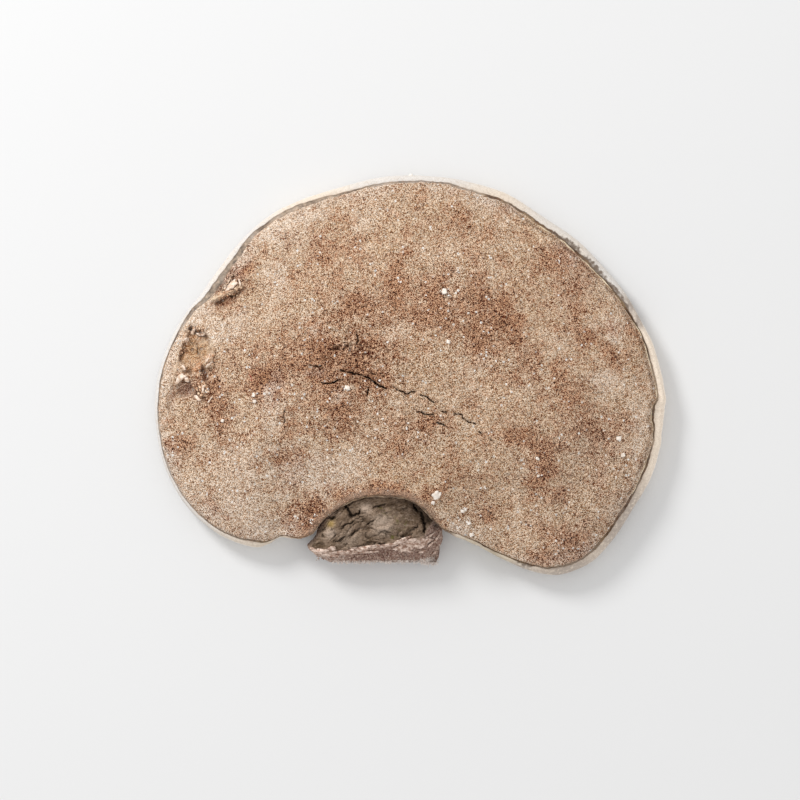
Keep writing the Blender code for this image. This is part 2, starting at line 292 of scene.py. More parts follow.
# The outline and the dome, with the same values as the solid model
outline = {
    "width": 0.250,
    "depth": 0.1955,
    # anticlockwise from the right, in millimetres: x, y and how far the crust stops short of the edge
    "margin": [
        (124.9, -9.2, 4.1), (120.1, 11.4, 4.4), (114.7, 23.1, 3.3), (105.4, 39.7, 3.9), (93.7, 53.9, 4.3),
        (81.5, 66.1, 4.2), (67.3, 75.9, 4.2), (53.6, 85.1, 4.0), (43.8, 90.1, 4.7), (29.1, 94.5, 4.2),
        (15.0, 96.9, 3.2), (-2.0, 97.7, 3.6), (-19.8, 95.7, 3.6), (-49.2, 87.2, 3.4), (-66.3, 79.4, 3.2),
        (-78.5, 70.1, 3.2), (-87.3, 60.3, 4.2), (-96.1, 48.5, 4.6), (-103.0, 38.7, 4.2),
        (-108.9, 31.4, 2.8), (-117.2, 17.2, 2.2), (-122.6, 2.5, 2.0), (-124.8, -12.1, 2.0),
        (-124.0, -26.8, 1.6), (-121.1, -41.5, 1.7), (-116.2, -53.2, 1.8), (-109.3, -64.0, 2.0),
        (-100.0, -73.3, 2.2), (-89.3, -80.1, 2.6), (-76.6, -84.1, 3.6), (-69.4, -82.6, 2.4),
    ],
    "notch": [
        (-63.5, -79.4, 1.2), (-55.5, -80.4, 1.0), (-48.2, -78.0, 0.9), (-42.8, -71.3, 0.8),
        (-34.5, -65.0, 0.8), (-25.7, -60.6, 0.8), (-14.9, -59.3, 0.8), (-2.7, -60.6, 0.8),
        (5.0, -64.5, 0.8), (11.5, -71.0, 0.8), (18.6, -77.6, 1.0), (29.1, -81.8, 1.7),
    ],
    "lobe": [
        (42.8, -88.9, 3.3), (58.5, -95.6, 4.5), (73.1, -97.7, 4.6), (87.8, -91.9, 4.2),
        (98.6, -81.1, 4.2), (108.4, -66.4, 4.1), (117.2, -51.3, 4.7), (122.2, -36.0, 4.2),
        (123.1, -28.5, 4.4), (123.9, -22.5, 5.9), (124.6, -16.0, 5.8),
    ],
    "core": (-3.0, 2.0),
}
dome = {
    "marginHeight": 0.0125,
    "rise": 0.0235,
    "reach": 0.090,
    "fullness": 1.7,
    "undercut": 0.0055,
    "swellings": [(0.013, 0.006, 0.0006), (0.030, 0.008, -0.0006), (0.047, 0.010, 0.0008)],
    "humpHeight": 0.0008,
}

core = np.array(outline["core"]) * mm
edgeLoop = smoothLoop(outline["margin"] + outline["notch"] + outline["lobe"]) * mm
boxLow = edgeLoop[:, :2].min(axis=0)
boxHigh = edgeLoop[:, :2].max(axis=0)
fit = np.array([outline["width"], outline["depth"]]) / (boxHigh - boxLow)
edgeLoop[:, :2] = (edgeLoop[:, :2] - (boxLow + boxHigh) / 2.0) * fit
notchStart = len(outline["margin"]) * loopSteps
notchEnd = notchStart + len(outline["notch"]) * loopSteps
growingEdge = np.vstack([edgeLoop[notchEnd:], edgeLoop[:notchStart]])[:, :2]


def domeHeight(places):
    # the smooth height of the crust over places in plan
    gap = nearestOn(places, growingEdge, closed=False)[0]
    share = np.minimum(gap / dome["reach"], 1.0)
    height = dome["marginHeight"] + dome["rise"] * (1.0 - (1.0 - share) ** dome["fullness"])
    for middle, halfWidth, rise in dome["swellings"]:
        height += rise * np.exp(-((gap - middle) / halfWidth) ** 2)
    hump = np.sin(places[:, 0] * 71.0 + 1.3) * np.sin(places[:, 1] * 83.0 + 0.4)
    return height + dome["humpHeight"] * hump


# Patches of the rim: x, y, reach along x and y in the picture's pixels, strength; sunny is painted light that
# makes the right side of the rim lighter
rimMarks = {
    "innerRimDark": [(572, 240, 24, 20, 1.0), (598, 266, 26, 26, 1.0), (622, 296, 18, 22, 1.0),
              (637, 320, 8, 12, 0.8), (530, 213, 25, 14, 0.6), (521, 566, 13, 8, 1.0)],
    "wholeRim": [(628, 306, 10, 10, 1.0), (637, 322, 6, 8, 1.0), (521, 567, 12, 8, 1.0),
                 (575, 572, 50, 16, 0.9), (625, 525, 34, 50, 0.9)],
    "dullEdge": [(235, 268, 16, 16, 0.4), (650, 440, 40, 110, 0.4), (590, 545, 60, 34, 0.3),
                 (600, 280, 50, 50, 0.7), (545, 228, 30, 16, 1.0), (640, 340, 14, 30, 0.6),
                 (485, 545, 50, 14, 0.6)],
    "setBack": [(585, 250, 40, 36, 0.9), (628, 305, 22, 30, 0.5), (456, 538, 13, 10, 1.5),
                (476, 546, 16, 9, 1.0)],
    "wideGroove": [(212, 285, 26, 40, 1.0), (245, 245, 26, 30, 0.8), (300, 213, 60, 22, 0.65),
                   (188, 318, 12, 18, .5)],
    "olive": [(485, 550, 46, 20, 0.6), (560, 572, 30, 8, 0.2), (250, 542, 40, 8, 0.3)],
    "white": [(165, 400, 22, 110, 1.0), (195, 300, 30, 60, 0.9), (240, 235, 40, 40, 0.8),
              (400, 178, 110, 14, 0.8), (200, 500, 50, 40, 0.8), (560, 225, 50, 30, 0.6),
              (610, 275, 30, 40, 0.8)],
    "sunny": [(656, 390, 24, 100, 1.0), (645, 470, 24, 30, 0.7)],
    "greyGroove": [(225, 270, 50, 70, 1.0), (330, 200, 90, 30, 0.9), (430, 185, 60, 14, 0.6),
                   (165, 400, 26, 120, 0.6), (210, 510, 60, 50, 0.6)],
}


def rimPatches(places, kind):
    return covered(shaken(places, 1.5 * mm, 5.0 * mm, (31, 32), 3), rimMarks[kind], 1.0, 1.5, 2.0)


def acrossTheRim(loop):
    # the way inwards, the width of the dark groove and the crust's ragged border, for each place on the edge
    side = loop[:, :2]
    inward = core - side
    inward /= np.linalg.norm(inward, axis=1)[:, None]
    setback = loop[:, 2].copy()
    raggedness = np.clip(setback / (4.0 * mm), 0.55, 1.2)
    setback += raggedness * 0.42 * mm * smoothNoise(side, 7.0 * mm, 41, 2)
    setback += raggedness * 0.34 * mm * smoothNoise(side, 2.0 * mm, 43, 2)
    wide = rimPatches(side, "wideGroove")
    setback += 0.9 * mm * rimPatches(side, "setBack") - 0.7 * mm * wide
    groove = (0.30 * mm + 0.22 * setback) * (0.95 + 0.5 * smoothNoise(side, 11.0 * mm, 45, 2))
    groove += 1.9 * mm * wide
    return inward, setback, groove


edgeLoop[:, 2] = np.maximum(edgeLoop[:, 2], 0.7 * mm)
inward, setback, groove = acrossTheRim(edgeLoop)
crustBorder = evenlyAlong(edgeLoop[:, :2] + inward * (setback + groove / 2.0)[:, None], 1500)

# What is worn, cracked and broken in the crust
cracks = {
    "depth": 2.6 * mm,
    # each piece: how strong it is, and then x and y in the picture's pixels with the width in millimetres
    "lines": [
        (1.0, [(339, 369.5, 0.4), (343, 371, 0.9), (350, 373, 1.3), (360, 375, 1.5), (366, 377, 1.5),
               (370.5, 380, 1.7), (376, 384.5, 1.6), (382, 386.5, 1.3), (388.5, 389, 0.5)]),
        (1.0, [(391.5, 385.5, 0.4), (394, 387.5, 0.8), (397, 390, 0.9), (402, 392.5, 1.2), (406.5, 394, 1.2),
               (411, 392.5, 0.9), (416.5, 392, 0.5)]),
        (0.8, [(418, 394, 0.4), (422, 396, 0.8), (426.5, 397.5, 0.8), (430, 401, 0.7), (434, 403, 0.9),
               (437, 401, 0.5), (441.5, 400, 0.3)]),
        (0.8, [(413.5, 409, 0.3), (417, 411, 0.7), (421, 412, 0.8), (426, 415, 1.0), (431, 414.5, 0.8),
               (436, 414, 0.3)]),
        (0.8, [(438, 408.5, 0.3), (442, 411, 0.7), (445.5, 411.5, 0.5), (448, 414.5, 0.6)]),
        (0.8, [(451, 409.5, 0.3), (454, 412.5, 0.7), (457, 415, 0.7), (461.5, 415.5, 0.5), (463, 419, 0.6),
               (468, 422.5, 0.9), (473.5, 422.5, 0.8), (478, 424.5, 0.3)]),
        (0.8, [(434.5, 421.5, 0.5), (438, 423.5, 0.8), (444, 424, 0.9), (449, 428, 0.5)]),
        (0.8, [(476.5, 430, 0.5), (481, 434.5, 0.9), (485, 436, 0.5)]),
        (0.7, [(487, 437, 0.4), (491, 440, 0.8), (494, 441.5, 0.5)]),
        (0.8, [(307, 364, 0.4), (313, 366.5, 0.8), (319, 367, 0.9), (326, 365.5, 0.5)]),
        (0.8, [(320, 381.5, 0.4), (327, 383, 0.9), (333, 382.5, 0.8), (339, 381, 0.9), (346, 380, 0.5)]),
        (0.9, [(371, 384.5, 0.7), (368.5, 390, 1.1), (367.5, 396.5, 0.7)]),
        (0.6, [(287, 408, 0.4), (285, 415, 0.8), (286, 420, 0.7), (284.5, 426, 0.4)]),
        (0.6, [(357, 332, 0.5), (359, 341, 0.9), (356, 348, 0.6)]),
        (0.4, [(369, 373, 0.4), (374, 374.5, 0.8), (379, 375, 0.4)]),
        (0.35, [(195.7, 341, 0.3), (197.2, 346, 0.7), (198.6, 351, 0.6), (200.8, 357, 0.7), (203, 361, 0.3)]),
    ],
}
crackLines = [(photoLine(points, 0.45 * mm, 2.4 * mm, 71 + number), strength)
              for number, (strength, points) in enumerate(cracks["lines"])]

damage = {
    # the worn-out hollow at the left edge, read off the picture
    "hollow": fromPhoto([(189.5, 329), (196, 329.5), (202, 331), (209, 337), (212, 347), (211, 355),
                         (207.5, 363), (206, 370), (200, 376), (192, 375), (184, 367), (181, 360),
                         (182, 351), (186, 341)]),
    "hollowDepth": 3.9 * mm,
    # lumps and holes in it and round it: x and y in pixels, reach and height in millimetres
    "lumps": [(198, 366.5, 2.6, 1.7), (194, 361, 2.0, 0.7), (189, 338.5, 1.5, 1.4), (210, 358, 1.8, 1.3),
              (207, 364, 1.5, 1.2), (185, 345, 1.2, 0.9), (212, 350, 1.4, 0.7), (199, 343, 2.2, 0.5),
              (191, 328.5, 1.1, -2.2), (202.5, 334, 1.4, -2.2), (205, 372.5, 1.4, -2.0),
              (196, 332, 1.0, -1.4), (184, 352, 1.0, -0.9), (188, 391, 3.6, -0.9), (196, 392, 2.4, -0.8),
              (203, 381, 1.3, 0.9), (338.5, 349.5, 0.8, -1.1), (341.5, 346.5, 0.6, -1.1),
              (344.5, 350, 0.7, -1.1), (348, 346.5, 0.8, -1.1), (351, 349.5, 0.5, -1.1),
              (345.5, 343.5, 0.5, -1.1), (342, 352.5, 0.9, 0.6), (345, 347, 0.5, 0.5)],
    # the tan fold below the bright flake: x and y in pixels, height in millimetres
    "fold": [(210.5, 300.5, 0.4), (216, 299.2, 1.5), (222, 296.5, 2.0), (227, 294.2, 2.2), (232, 292, 2.2),
             (237, 289.8, 2.0), (241.5, 287.2, 1.3), (245, 283.5, 0.6), (251, 276, 0.3)],
    # thin ridges of crumbs: their height and how strong the painted highlight on their crests is, then x and
    # y in pixels with half the width
    "ridges": [(0.9, 1.2, [(209.5, 298, .5), (213, 293, .8), (218, 285, .7), (223, 277, .8), (229, 269, .6),
                           (235, 262, .4)]),
               (0.8, 0.5, [(222.5, 292.5, .4), (226.5, 286, .7), (231, 279, .7), (235.5, 273, .4)]),
               (1.2, 1.0, [(205.5, 364.5, .5), (208, 361.5, .9), (211, 358.5, 1.2), (215.5, 355.5, .6)]),
               (0.9, 0.9, [(207, 369.5, .5), (211.5, 366, .8), (216.5, 363.5, .5)]),
               (0.4, 0.4, [(195, 342, .3), (199, 349, .5), (201, 355, .5), (204, 361, .3)]),
               (0.8, 0.7, [(178.5, 364, .4), (177, 370, .6), (175, 378, .5), (172.5, 386, .3)])],
    # darkened and lightened spots: x, y and reach along x and y in pixels, strength; the shades are painted
    # shade, a few of them on reddish-brown flesh
    "shades": [(192.4, 327.8, 2.0, 2.4, 1.2), (197.5, 331, 4.5, 1.3, 0.7), (202.5, 332.6, 2.4, 2.0, 1.2),
               (206.3, 337, 2.2, 2.6, 1.0), (209.6, 343, 1.2, 4.0, 0.5), (185.2, 344.5, 1.7, 2.4, 1.0),
               (182.3, 352, 1.4, 5.0, 0.7), (187.0, 351.4, 1.1, 1.1, 1.2), (193.4, 349.8, 1.2, 1.1, 1.4),
               (201.7, 349.4, 1.2, 1.1, 1.5), (188.5, 372, 3.6, 1.8, 1.0), (204.6, 370.5, 1.9, 3.6, 2.2),
               (206.0, 376, 1.7, 4.0, 2.2), (191.8, 371, 1.0, 4.0, 0.8), (199.5, 378.5, 4.0, 1.5, 0.7),
               (185.5, 381.8, 3.4, 1.3, 1.2), (199.8, 393.8, 2.6, 1.3, 1.4), (204.5, 398.8, 1.5, 2.0, 0.8),
               (184.5, 372.8, 1.3, 1.8, 0.9), (204.5, 381, 2.0, 2.0, 0.6), (212, 371, 1.4, 1.1, 0.8),
               (209, 379, 1.2, 1.0, 0.8), (211, 387.5, 1.1, 1.0, 0.8), (207.5, 398.5, 3.0, 1.2, 0.7),
               (172, 395, 1.2, 9.0, 0.5), (224.4, 291.4, 1.3, 1.2, 1.2), (234, 277.6, 2.2, 1.2, 1.0),
               (238.3, 286.3, 1.6, 0.7, 1.0), (239.8, 290.6, 1.8, 1.4, 0.9), (222, 281.5, 2.2, 6.0, 0.7),
               (217.5, 289, 2.0, 5.0, 0.7), (230, 270.5, 2.6, 3.0, 0.7), (246.5, 282, 3.0, 3.0, 0.5),
               (244, 291, 4.0, 4.0, 0.5)],
    "orange": [(198.2, 369.5, 5.5, 6.5, 1.3), (190.0, 335.8, 4.0, 2.6, 0.8), (186, 349, 3.0, 8.0, 0.4),
               (210.5, 360, 5.0, 5.0, 0.5), (229, 293.5, 9.0, 3.0, 0.5)],
    "worn": [(187, 389.5, 8.0, 6.5, 1.3), (174, 397, 1.6, 9.0, 0.7), (223, 279, 4.5, 9.0, 0.8),
             (217, 287, 3.5, 7.0, 0.7), (231, 299, 7.0, 4.0, 0.3)],
    # the lights are painted highlights
    "lights": [(187.6, 341.6, 2.2, 1.7, 1.2), (210.5, 358.5, 4.2, 4.0, 0.7), (179.3, 352, 0.9, 1.6, 0.9),
               (179.0, 358.6, 1.1, 1.5, 0.9), (194.6, 364.8, 1.8, 1.6, 0.8), (184.4, 367, 1.6, 4.0, 0.7),
               (205.3, 342, 1.4, 1.2, 0.9), (204.5, 342.5, 3.4, 3.4, 0.5), (189, 334.5, 3.2, 2.4, 0.5),
               (212.5, 345, 2.2, 6.0, 0.5), (176, 368, 2.6, 5.0, 0.4)],
    # shallower worn places: x, y, half length, half width, depth in millimetres, turn in degrees
    "dips": [(-110.6, -7.0, 6.0, 4.6, 1.5, 25.0), (-88.6, 37.6, 8.0, 3.6, 1.9, 34.0),
             (-102.0, -8.0, 5.0, 5.5, 1.0, 70.0), (-36.0, 13.0, 2.4, 1.2, 1.1, 10.0),
             (-30.5, 13.6, 1.8, 1.0, 0.9, 150.0), (-118.0, -13.5, 7.5, 0.9, 0.7, 96.0)],
}
ridgeLines = [(rise, light, photoLine(points, 0.35 * mm, 1.8 * mm, 93 + number))
              for number, (rise, light, points) in enumerate(damage["ridges"])]
hollowLine = smoothLoop(damage["hollow"], 10)
hollowMiddle = hollowLine.mean(axis=0)
foldLine = photoLine(damage["fold"], 0.3 * mm, 3.0 * mm, 63)


def spots(places, kind):
    # marked places of the damage, with uneven edges
    marked = np.zeros(len(places))
    near = (places[:, 0] < -70.0 * mm) & (np.abs(places[:, 1] - 20.0 * mm) < 42.0 * mm)
    if near.any():
        marked[near] = covered(shaken(places[near], 0.35 * mm, 1.3 * mm, (87, 88), 2), damage[kind], 0.7)
    return marked


def wornAway(places):
    # how far the crust is worn down, the big hollow's floor, and where shade and highlights are painted on
    # what is broken
    lost = np.zeros(len(places))
    floor = np.zeros(len(places))
    paintedShade = np.zeros(len(places))
    lit = np.zeros(len(places))
    near = np.linalg.norm(places - hollowMiddle, axis=1) < 19.0 * mm
    some = places[near]
    if len(some):
        shifted = shaken(some, 1.2 * mm, 3.0 * mm, (51, 52), 3)
        gap = nearestOn(shifted, hollowLine)[0]
        signed = np.where(insideOf(shifted, hollowLine), gap, -gap)
        steep = ramp(signed, -0.2 * mm, 1.0 * mm)
        deep = 0.72 + 0.28 * ramp(signed, 1.0 * mm, 5.0 * mm)
        # the floor is highest at its lower left, and a low ridge runs slantwise over it
        outwards = some - hollowMiddle
        deep += 0.16 * np.clip((outwards @ np.array([0.5, 0.85])) / (8.0 * mm), -1.0, 1.0)
        deep -= 0.10 * np.exp(-((outwards @ np.array([0.85, 0.52])) / (0.9 * mm)) ** 2)
        deep += 0.16 * smoothNoise(some, 2.6 * mm, 55, 3)
        lost[near] = damage["hollowDepth"] * steep * deep
        # crumbled rim
        lost[near] -= 0.5 * mm * np.exp(-((signed + 0.9 * mm) / (0.8 * mm)) ** 2) * (
            0.5 + 0.5 * smoothNoise(some, 2.0 * mm, 57, 2))
        floor[near] = steep
        # painted shade on the hollow's upper left wall, which faces away from the lamp, and a painted
        # highlight on its lower right wall
        facing = (outwards / np.linalg.norm(outwards, axis=1)[:, None]) @ np.array([-0.66, 0.75])
        band = np.exp(-((signed - 0.6 * mm) / (0.9 * mm)) ** 2)
        band = band * (0.7 + 0.7 * smoothNoise(some, 2.2 * mm, 58, 2))
        paintedShade[near] = band * ramp(facing, -0.35, 0.5)
        lit[near] = band * ramp(-facing, -0.2, 0.6)
    for x, y, reach, rise in damage["lumps"]:
        away = np.linalg.norm(places - fromPhoto([(x, y)])[0], axis=1) / (reach * mm)
        some = away < 2.4
        if some.any():
            away = away[some] + 0.45 * smoothNoise(places[some], 1.4 * mm, 59, 2)
            bulge = np.exp(-1.2 * np.abs(away) ** 3)
            lost[some] -= rise * mm * bulge
            # the deep holes get painted shade
            if rise < -1.0:
                paintedShade[some] = np.maximum(paintedShade[some], 1.3 * bulge)
    # the fold, steeper on its shaded side, with a painted shadow below it and a painted highlight on it
    gap, spot, where = nearestOn(places, foldLine[:, :2], closed=False)
    rise = np.interp(where, np.arange(len(foldLine)), foldLine[:, 2])
    side = (places - spot) @ np.array([0.5, -0.87])
    fold = rise * np.exp(-(side / np.where(side > 0.0, 0.80 * mm, 1.1 * mm)) ** 2)
    fold[gap > 5.0 * mm] = 0.0
    shade = np.exp(-((side - 2.2 * mm) / (1.1 * mm)) ** 2) * (rise / (2.0 * mm)) * (gap < 5.0 * mm)
    lost += 1.0 * mm * shade - fold
    paintedShade = np.maximum(paintedShade, shade)
    lit = np.maximum(lit, 1.1 * np.clip(fold / (1.1 * mm), 0.0, 1.0))
    # painted highlights on the crests of the ridges
    for rise, light, line in ridgeLines:
        gap, _, where = nearestOn(places, line[:, :2], closed=False)
        width = np.maximum(np.interp(where, np.arange(len(line)), line[:, 2]), 0.15 * mm)
        crest = np.exp(-(gap / width) ** 2)
        lost -= rise * mm * crest
        lit = np.maximum(lit, light * crest)
    # painted shade and painted highlights at the listed spots, which also sink and raise the crust a little
    shades = spots(places, "shades")
    lights = spots(places, "lights")
    lost += 0.9 * mm * shades - 0.4 * mm * lights
    paintedShade = np.maximum(paintedShade * (1.0 - 0.6 * lights), shades)
    lit = np.maximum(lit, lights) * (1.0 - 0.8 * shades)
    for number, (x, y, halfLength, halfWidth, depth, turn) in enumerate(damage["dips"]):
        away = places - np.array([x, y]) * mm
        turn = math.radians(turn)
        along = away[:, 0] * math.cos(turn) + away[:, 1] * math.sin(turn)
        aside = away[:, 1] * math.cos(turn) - away[:, 0] * math.sin(turn)
        reach = np.hypot(along / (halfLength * mm), aside / (halfWidth * mm))
        some = reach < 1.6
        if some.any():
            reach = reach[some] + 0.22 * smoothNoise(places[some], 2.5 * mm, 60 + number, 2)
            sunk = ramp(-reach, -1.15, -0.35)
            lost[some] += depth * mm * sunk
            # the dips get painted shade
            paintedShade[some] = np.maximum(paintedShade[some], 0.55 * sunk)
    return lost, floor, paintedShade, lit


def crackOpening(places):
    # depth of the cracks, and the painted shade in their openings
    lost = np.zeros(len(places))
    dark = np.zeros(len(places))
    for line, strength in crackLines:
        low = line[:, :2].min(axis=0) - 5.0 * mm
        high = line[:, :2].max(axis=0) + 5.0 * mm
        near = ((places > low) & (places < high)).all(axis=1)
        if not near.any():
            continue
        gap, _, where = nearestOn(places[near], line[:, :2], closed=False)
        width = np.interp(where, np.arange(len(line)), line[:, 2])
        broken = ramp(width, 0.30 * mm, 0.75 * mm)
        opened = ramp(-gap, -(width * 0.22 + 0.31 * mm), -width * 0.06) * (0.15 + 0.85 * broken)
        shoulder = 0.30 * mm * strength * np.exp(-((gap - 1.2 * mm) / (0.9 * mm)) ** 2)
        lost[near] = np.maximum(lost[near], cracks["depth"] * strength * opened) - shoulder
        dark[near] = np.maximum(dark[near], opened)
    return lost, dark


# Patches of the crust: x, y, reach along x and y in the picture's pixels, strength
patches = {
    "brown": [(338, 362, 22, 22, .9), (367, 380, 14, 10, .8), (336, 416, 14, 14, .5), (266, 376, 12, 14, .8),
              (287, 370, 22, 8, .4), (352, 300, 15, 12, .7), (397, 282, 8, 20, .6), (432, 312, 15, 14, 1.0),
              (375, 300, 14, 8, .4), (368, 342, 18, 18, .3), (482, 310, 16, 20, .7), (500, 318, 14, 12, .75),
              (478, 340, 14, 10, .6), (565, 262, 16, 12, .7), (585, 338, 10, 10, .6), (572, 300, 14, 20, .5),
              (540, 465, 12, 22, .75), (515, 435, 16, 8, .6), (567, 402, 12, 10, .55),
              (598, 433, 20, 14, .6), (567, 425, 8, 8, .4), (549, 559, 12, 6, .8), (300, 526, 12, 10, .9),
              (380, 496, 30, 5, .8), (575, 545, 20, 14, .6), (560, 495, 12, 8, .4), (487, 510, 10, 10, .4),
              (228, 300, 12, 8, .2), (236, 270, 9, 14, 1.0), (250, 254, 10, 10, .2), (224, 284, 7, 9, .8),
              (350, 420, 10, 8, .5), (382, 304, 9, 7, .5), (204, 512, 10, 8, .4), (218, 405, 8, 22, .5),
              (200, 380, 8, 8, .4), (174, 450, 12, 8, .6), (522, 350, 12, 12, .6), (445, 281, 9, 9, .5),
              (412, 321, 10, 8, .4), (312, 515, 14, 12, .7), (295, 440, 14, 30, .35),
              (275, 470, 14, 20, .15), (430, 423, 16, 9, .4), (393, 439, 16, 9, .35), (290, 345, 16, 10, .3),
              (320, 255, 14, 14, .3), (455, 215, 14, 10, .15), (470, 235, 12, 8, .3), (335, 222, 12, 8, .25),
              (618, 357, 14, 12, .3), (470, 472, 16, 12, .15), (356, 494, 12, 6, .5), (557, 374, 10, 10, .4),
              (605, 422, 10, 8, .3), (488, 362, 10, 8, .3), (391, 489, 12, 6, .3), (264, 390, 10, 8, .4),
              (353, 257, 10, 8, .4), (385, 360, 8, 8, .4), (626, 328, 8, 8, .4), (438, 490, 8, 6, .4)],
    "pale": [(326, 481, 10, 12, .6), (360, 450, 8, 16, .4), (287, 491, 8, 8, .4), (203, 305, 12, 18, .7),
             (189, 322, 8, 9, .7), (284, 528, 12, 9, .7), (274, 230, 20, 12, 1.0), (302, 213, 22, 9, .7),
             (228, 333, 20, 8, .9), (178, 340, 8, 20, .5), (317, 373, 8, 6, .5), (284, 237, 10, 7, .6),
             (312, 327, 12, 10, .6), (290, 272, 12, 8, .4), (325, 470, 30, 14, .9), (235, 465, 30, 25, .6),
             (220, 510, 30, 20, .7), (266, 524, 16, 10, .6), (300, 478, 12, 8, .4), (241, 316, 10, 8, .6),
             (276, 396, 12, 14, .7), (600, 382, 12, 14, .6), (640, 455, 8, 40, .6), (609, 328, 11, 11, .8),
             (342, 397, 10, 7, .4), (396, 332, 12, 12, .4), (628, 415, 8, 14, .5), (275, 285, 14, 30, .5),
             (362, 222, 14, 20, .4), (437, 255, 30, 10, .3), (505, 230, 16, 12, .35),
             (555, 345, 12, 16, .35), (470, 375, 14, 18, .4), (500, 395, 36, 12, .15),
             (630, 385, 30, 10, .35), (390, 412, 20, 20, .25), (265, 420, 14, 12, .3),
             (465, 440, 30, 10, .2), (515, 500, 10, 25, .3), (490, 545, 40, 15, .3)],
    "crumbly": [(358, 350, 24, 16, .75), (370, 385, 50, 36, .25), (330, 425, 18, 10, .4),
                (212, 388, 10, 18, .5), (225, 285, 16, 16, .4), (316, 514, 12, 10, .7)],
    "dusty": [(250, 440, 60, 70, .5), (360, 390, 60, 46, .6), (275, 480, 60, 40, .5),
              (262, 362, 24, 24, 1.0), (352, 348, 26, 24, .9), (352, 390, 14, 8, 1.0),
              (452, 290, 30, 28, .8), (470, 330, 24, 16, .7), (335, 470, 34, 18, .5),
              (468, 518, 20, 22, 1.0), (418, 438, 26, 14, .7), (560, 445, 40, 24, .5),
              (612, 444, 16, 16, .9), (500, 358, 30, 18, .6), (314, 514, 14, 12, 1.0), (206, 386, 9, 20, .8),
              (222, 422, 12, 14, .8), (300, 300, 30, 20, .35), (590, 525, 14, 12, .3),
              (531, 390, 14, 14, .7), (523, 466, 14, 14, .6), (180, 455, 12, 16, .5), (330, 425, 20, 10, .8),
              (395, 205, 24, 12, .5), (575, 500, 40, 30, .3)],
    "grey": [(600, 480, 40, 60, .3), (530, 540, 45, 25, .2), (600, 275, 30, 30, .4), (240, 520, 40, 20, .3),
             (300, 241, 14, 12, .5)],
}

patchStrength = 1.2
patchSeeds = {"brown": 5, "pale": 6, "grey": 8, "crumbly": 9, "dusty": 12}


def patchiness(places, kind):
    # the patches laid over each other, with ragged edges
    seed = patchSeeds[kind]
    stronger = [(*ellipse[:4], min(patchStrength * ellipse[4], 1.0)) for ellipse in patches[kind]]
    uneven = 0.92 + 0.50 * smoothNoise(places, 6.0 * mm, seed + 23, 3)
    return covered(shaken(places, 4.2 * mm, 9.0 * mm, (seed, seed + 11), 4), stronger, 0.55) * uneven


crustValues = {
    "spacing": 0.70 * mm,
    "lipReach": 1.7 * mm,
    "lipDrop": 0.9 * mm,
    "skirt": [0.5 * mm, 1.3 * mm, 2.6 * mm, 5.0 * mm],
    "swell": 0.45 * mm,
    "lump": 0.42 * mm,
    "grainSize": 1.9 * mm,
    "grainHeight": 0.72 * mm,
}


def crustSurface(places):
    # the whole relief of the crust in plan, and what its colours follow
    gap = nearestOn(places, crustBorder)[0]
    height = domeHeight(places)
    brown = patchiness(places, "brown")
    pale = patchiness(places, "pale")
    roughness = 0.5 + 0.5 * smoothNoise(places, 9.0 * mm, 17, 2)
    roughness += 0.5 * brown - 0.45 * pale + 0.8 * patchiness(places, "crumbly")
    roughness = np.clip(roughness, 0.15, 1.8)
    near, own = grains(places, crustValues["grainSize"], 11)
    bumps = np.sqrt(np.clip(1.0 - (near / 0.72) ** 2, 0.0, 1.0)) * (0.35 + 0.9 * own) - 0.35
    lost, floor, paintedShade, lit = wornAway(places)
    crackLost, dark = crackOpening(places)
    calm = 1.0 - 0.85 * floor
    height += crustValues["swell"] * smoothNoise(places, 17.0 * mm, 3, 2)
    height += crustValues["lump"] * smoothNoise(places, 5.0 * mm, 5, 2) * calm
    height += crustValues["grainHeight"] * bumps * roughness * calm
    height -= lost + crackLost
    # the rounded lip
    roll = np.clip(1.0 - gap / crustValues["lipReach"], 0.0, 1.0)
    height -= crustValues["lipDrop"] * (1.0 - np.sqrt(np.clip(1.0 - roll ** 2, 0.0, 1.0)))
    return {"height": height, "gap": gap, "brown": brown, "pale": pale, "crackShade": dark, "floor": floor,
            "paintedShade": np.clip(paintedShade, 0.0, 1.0), "lit": np.clip(lit, 0.0, 1.0)}


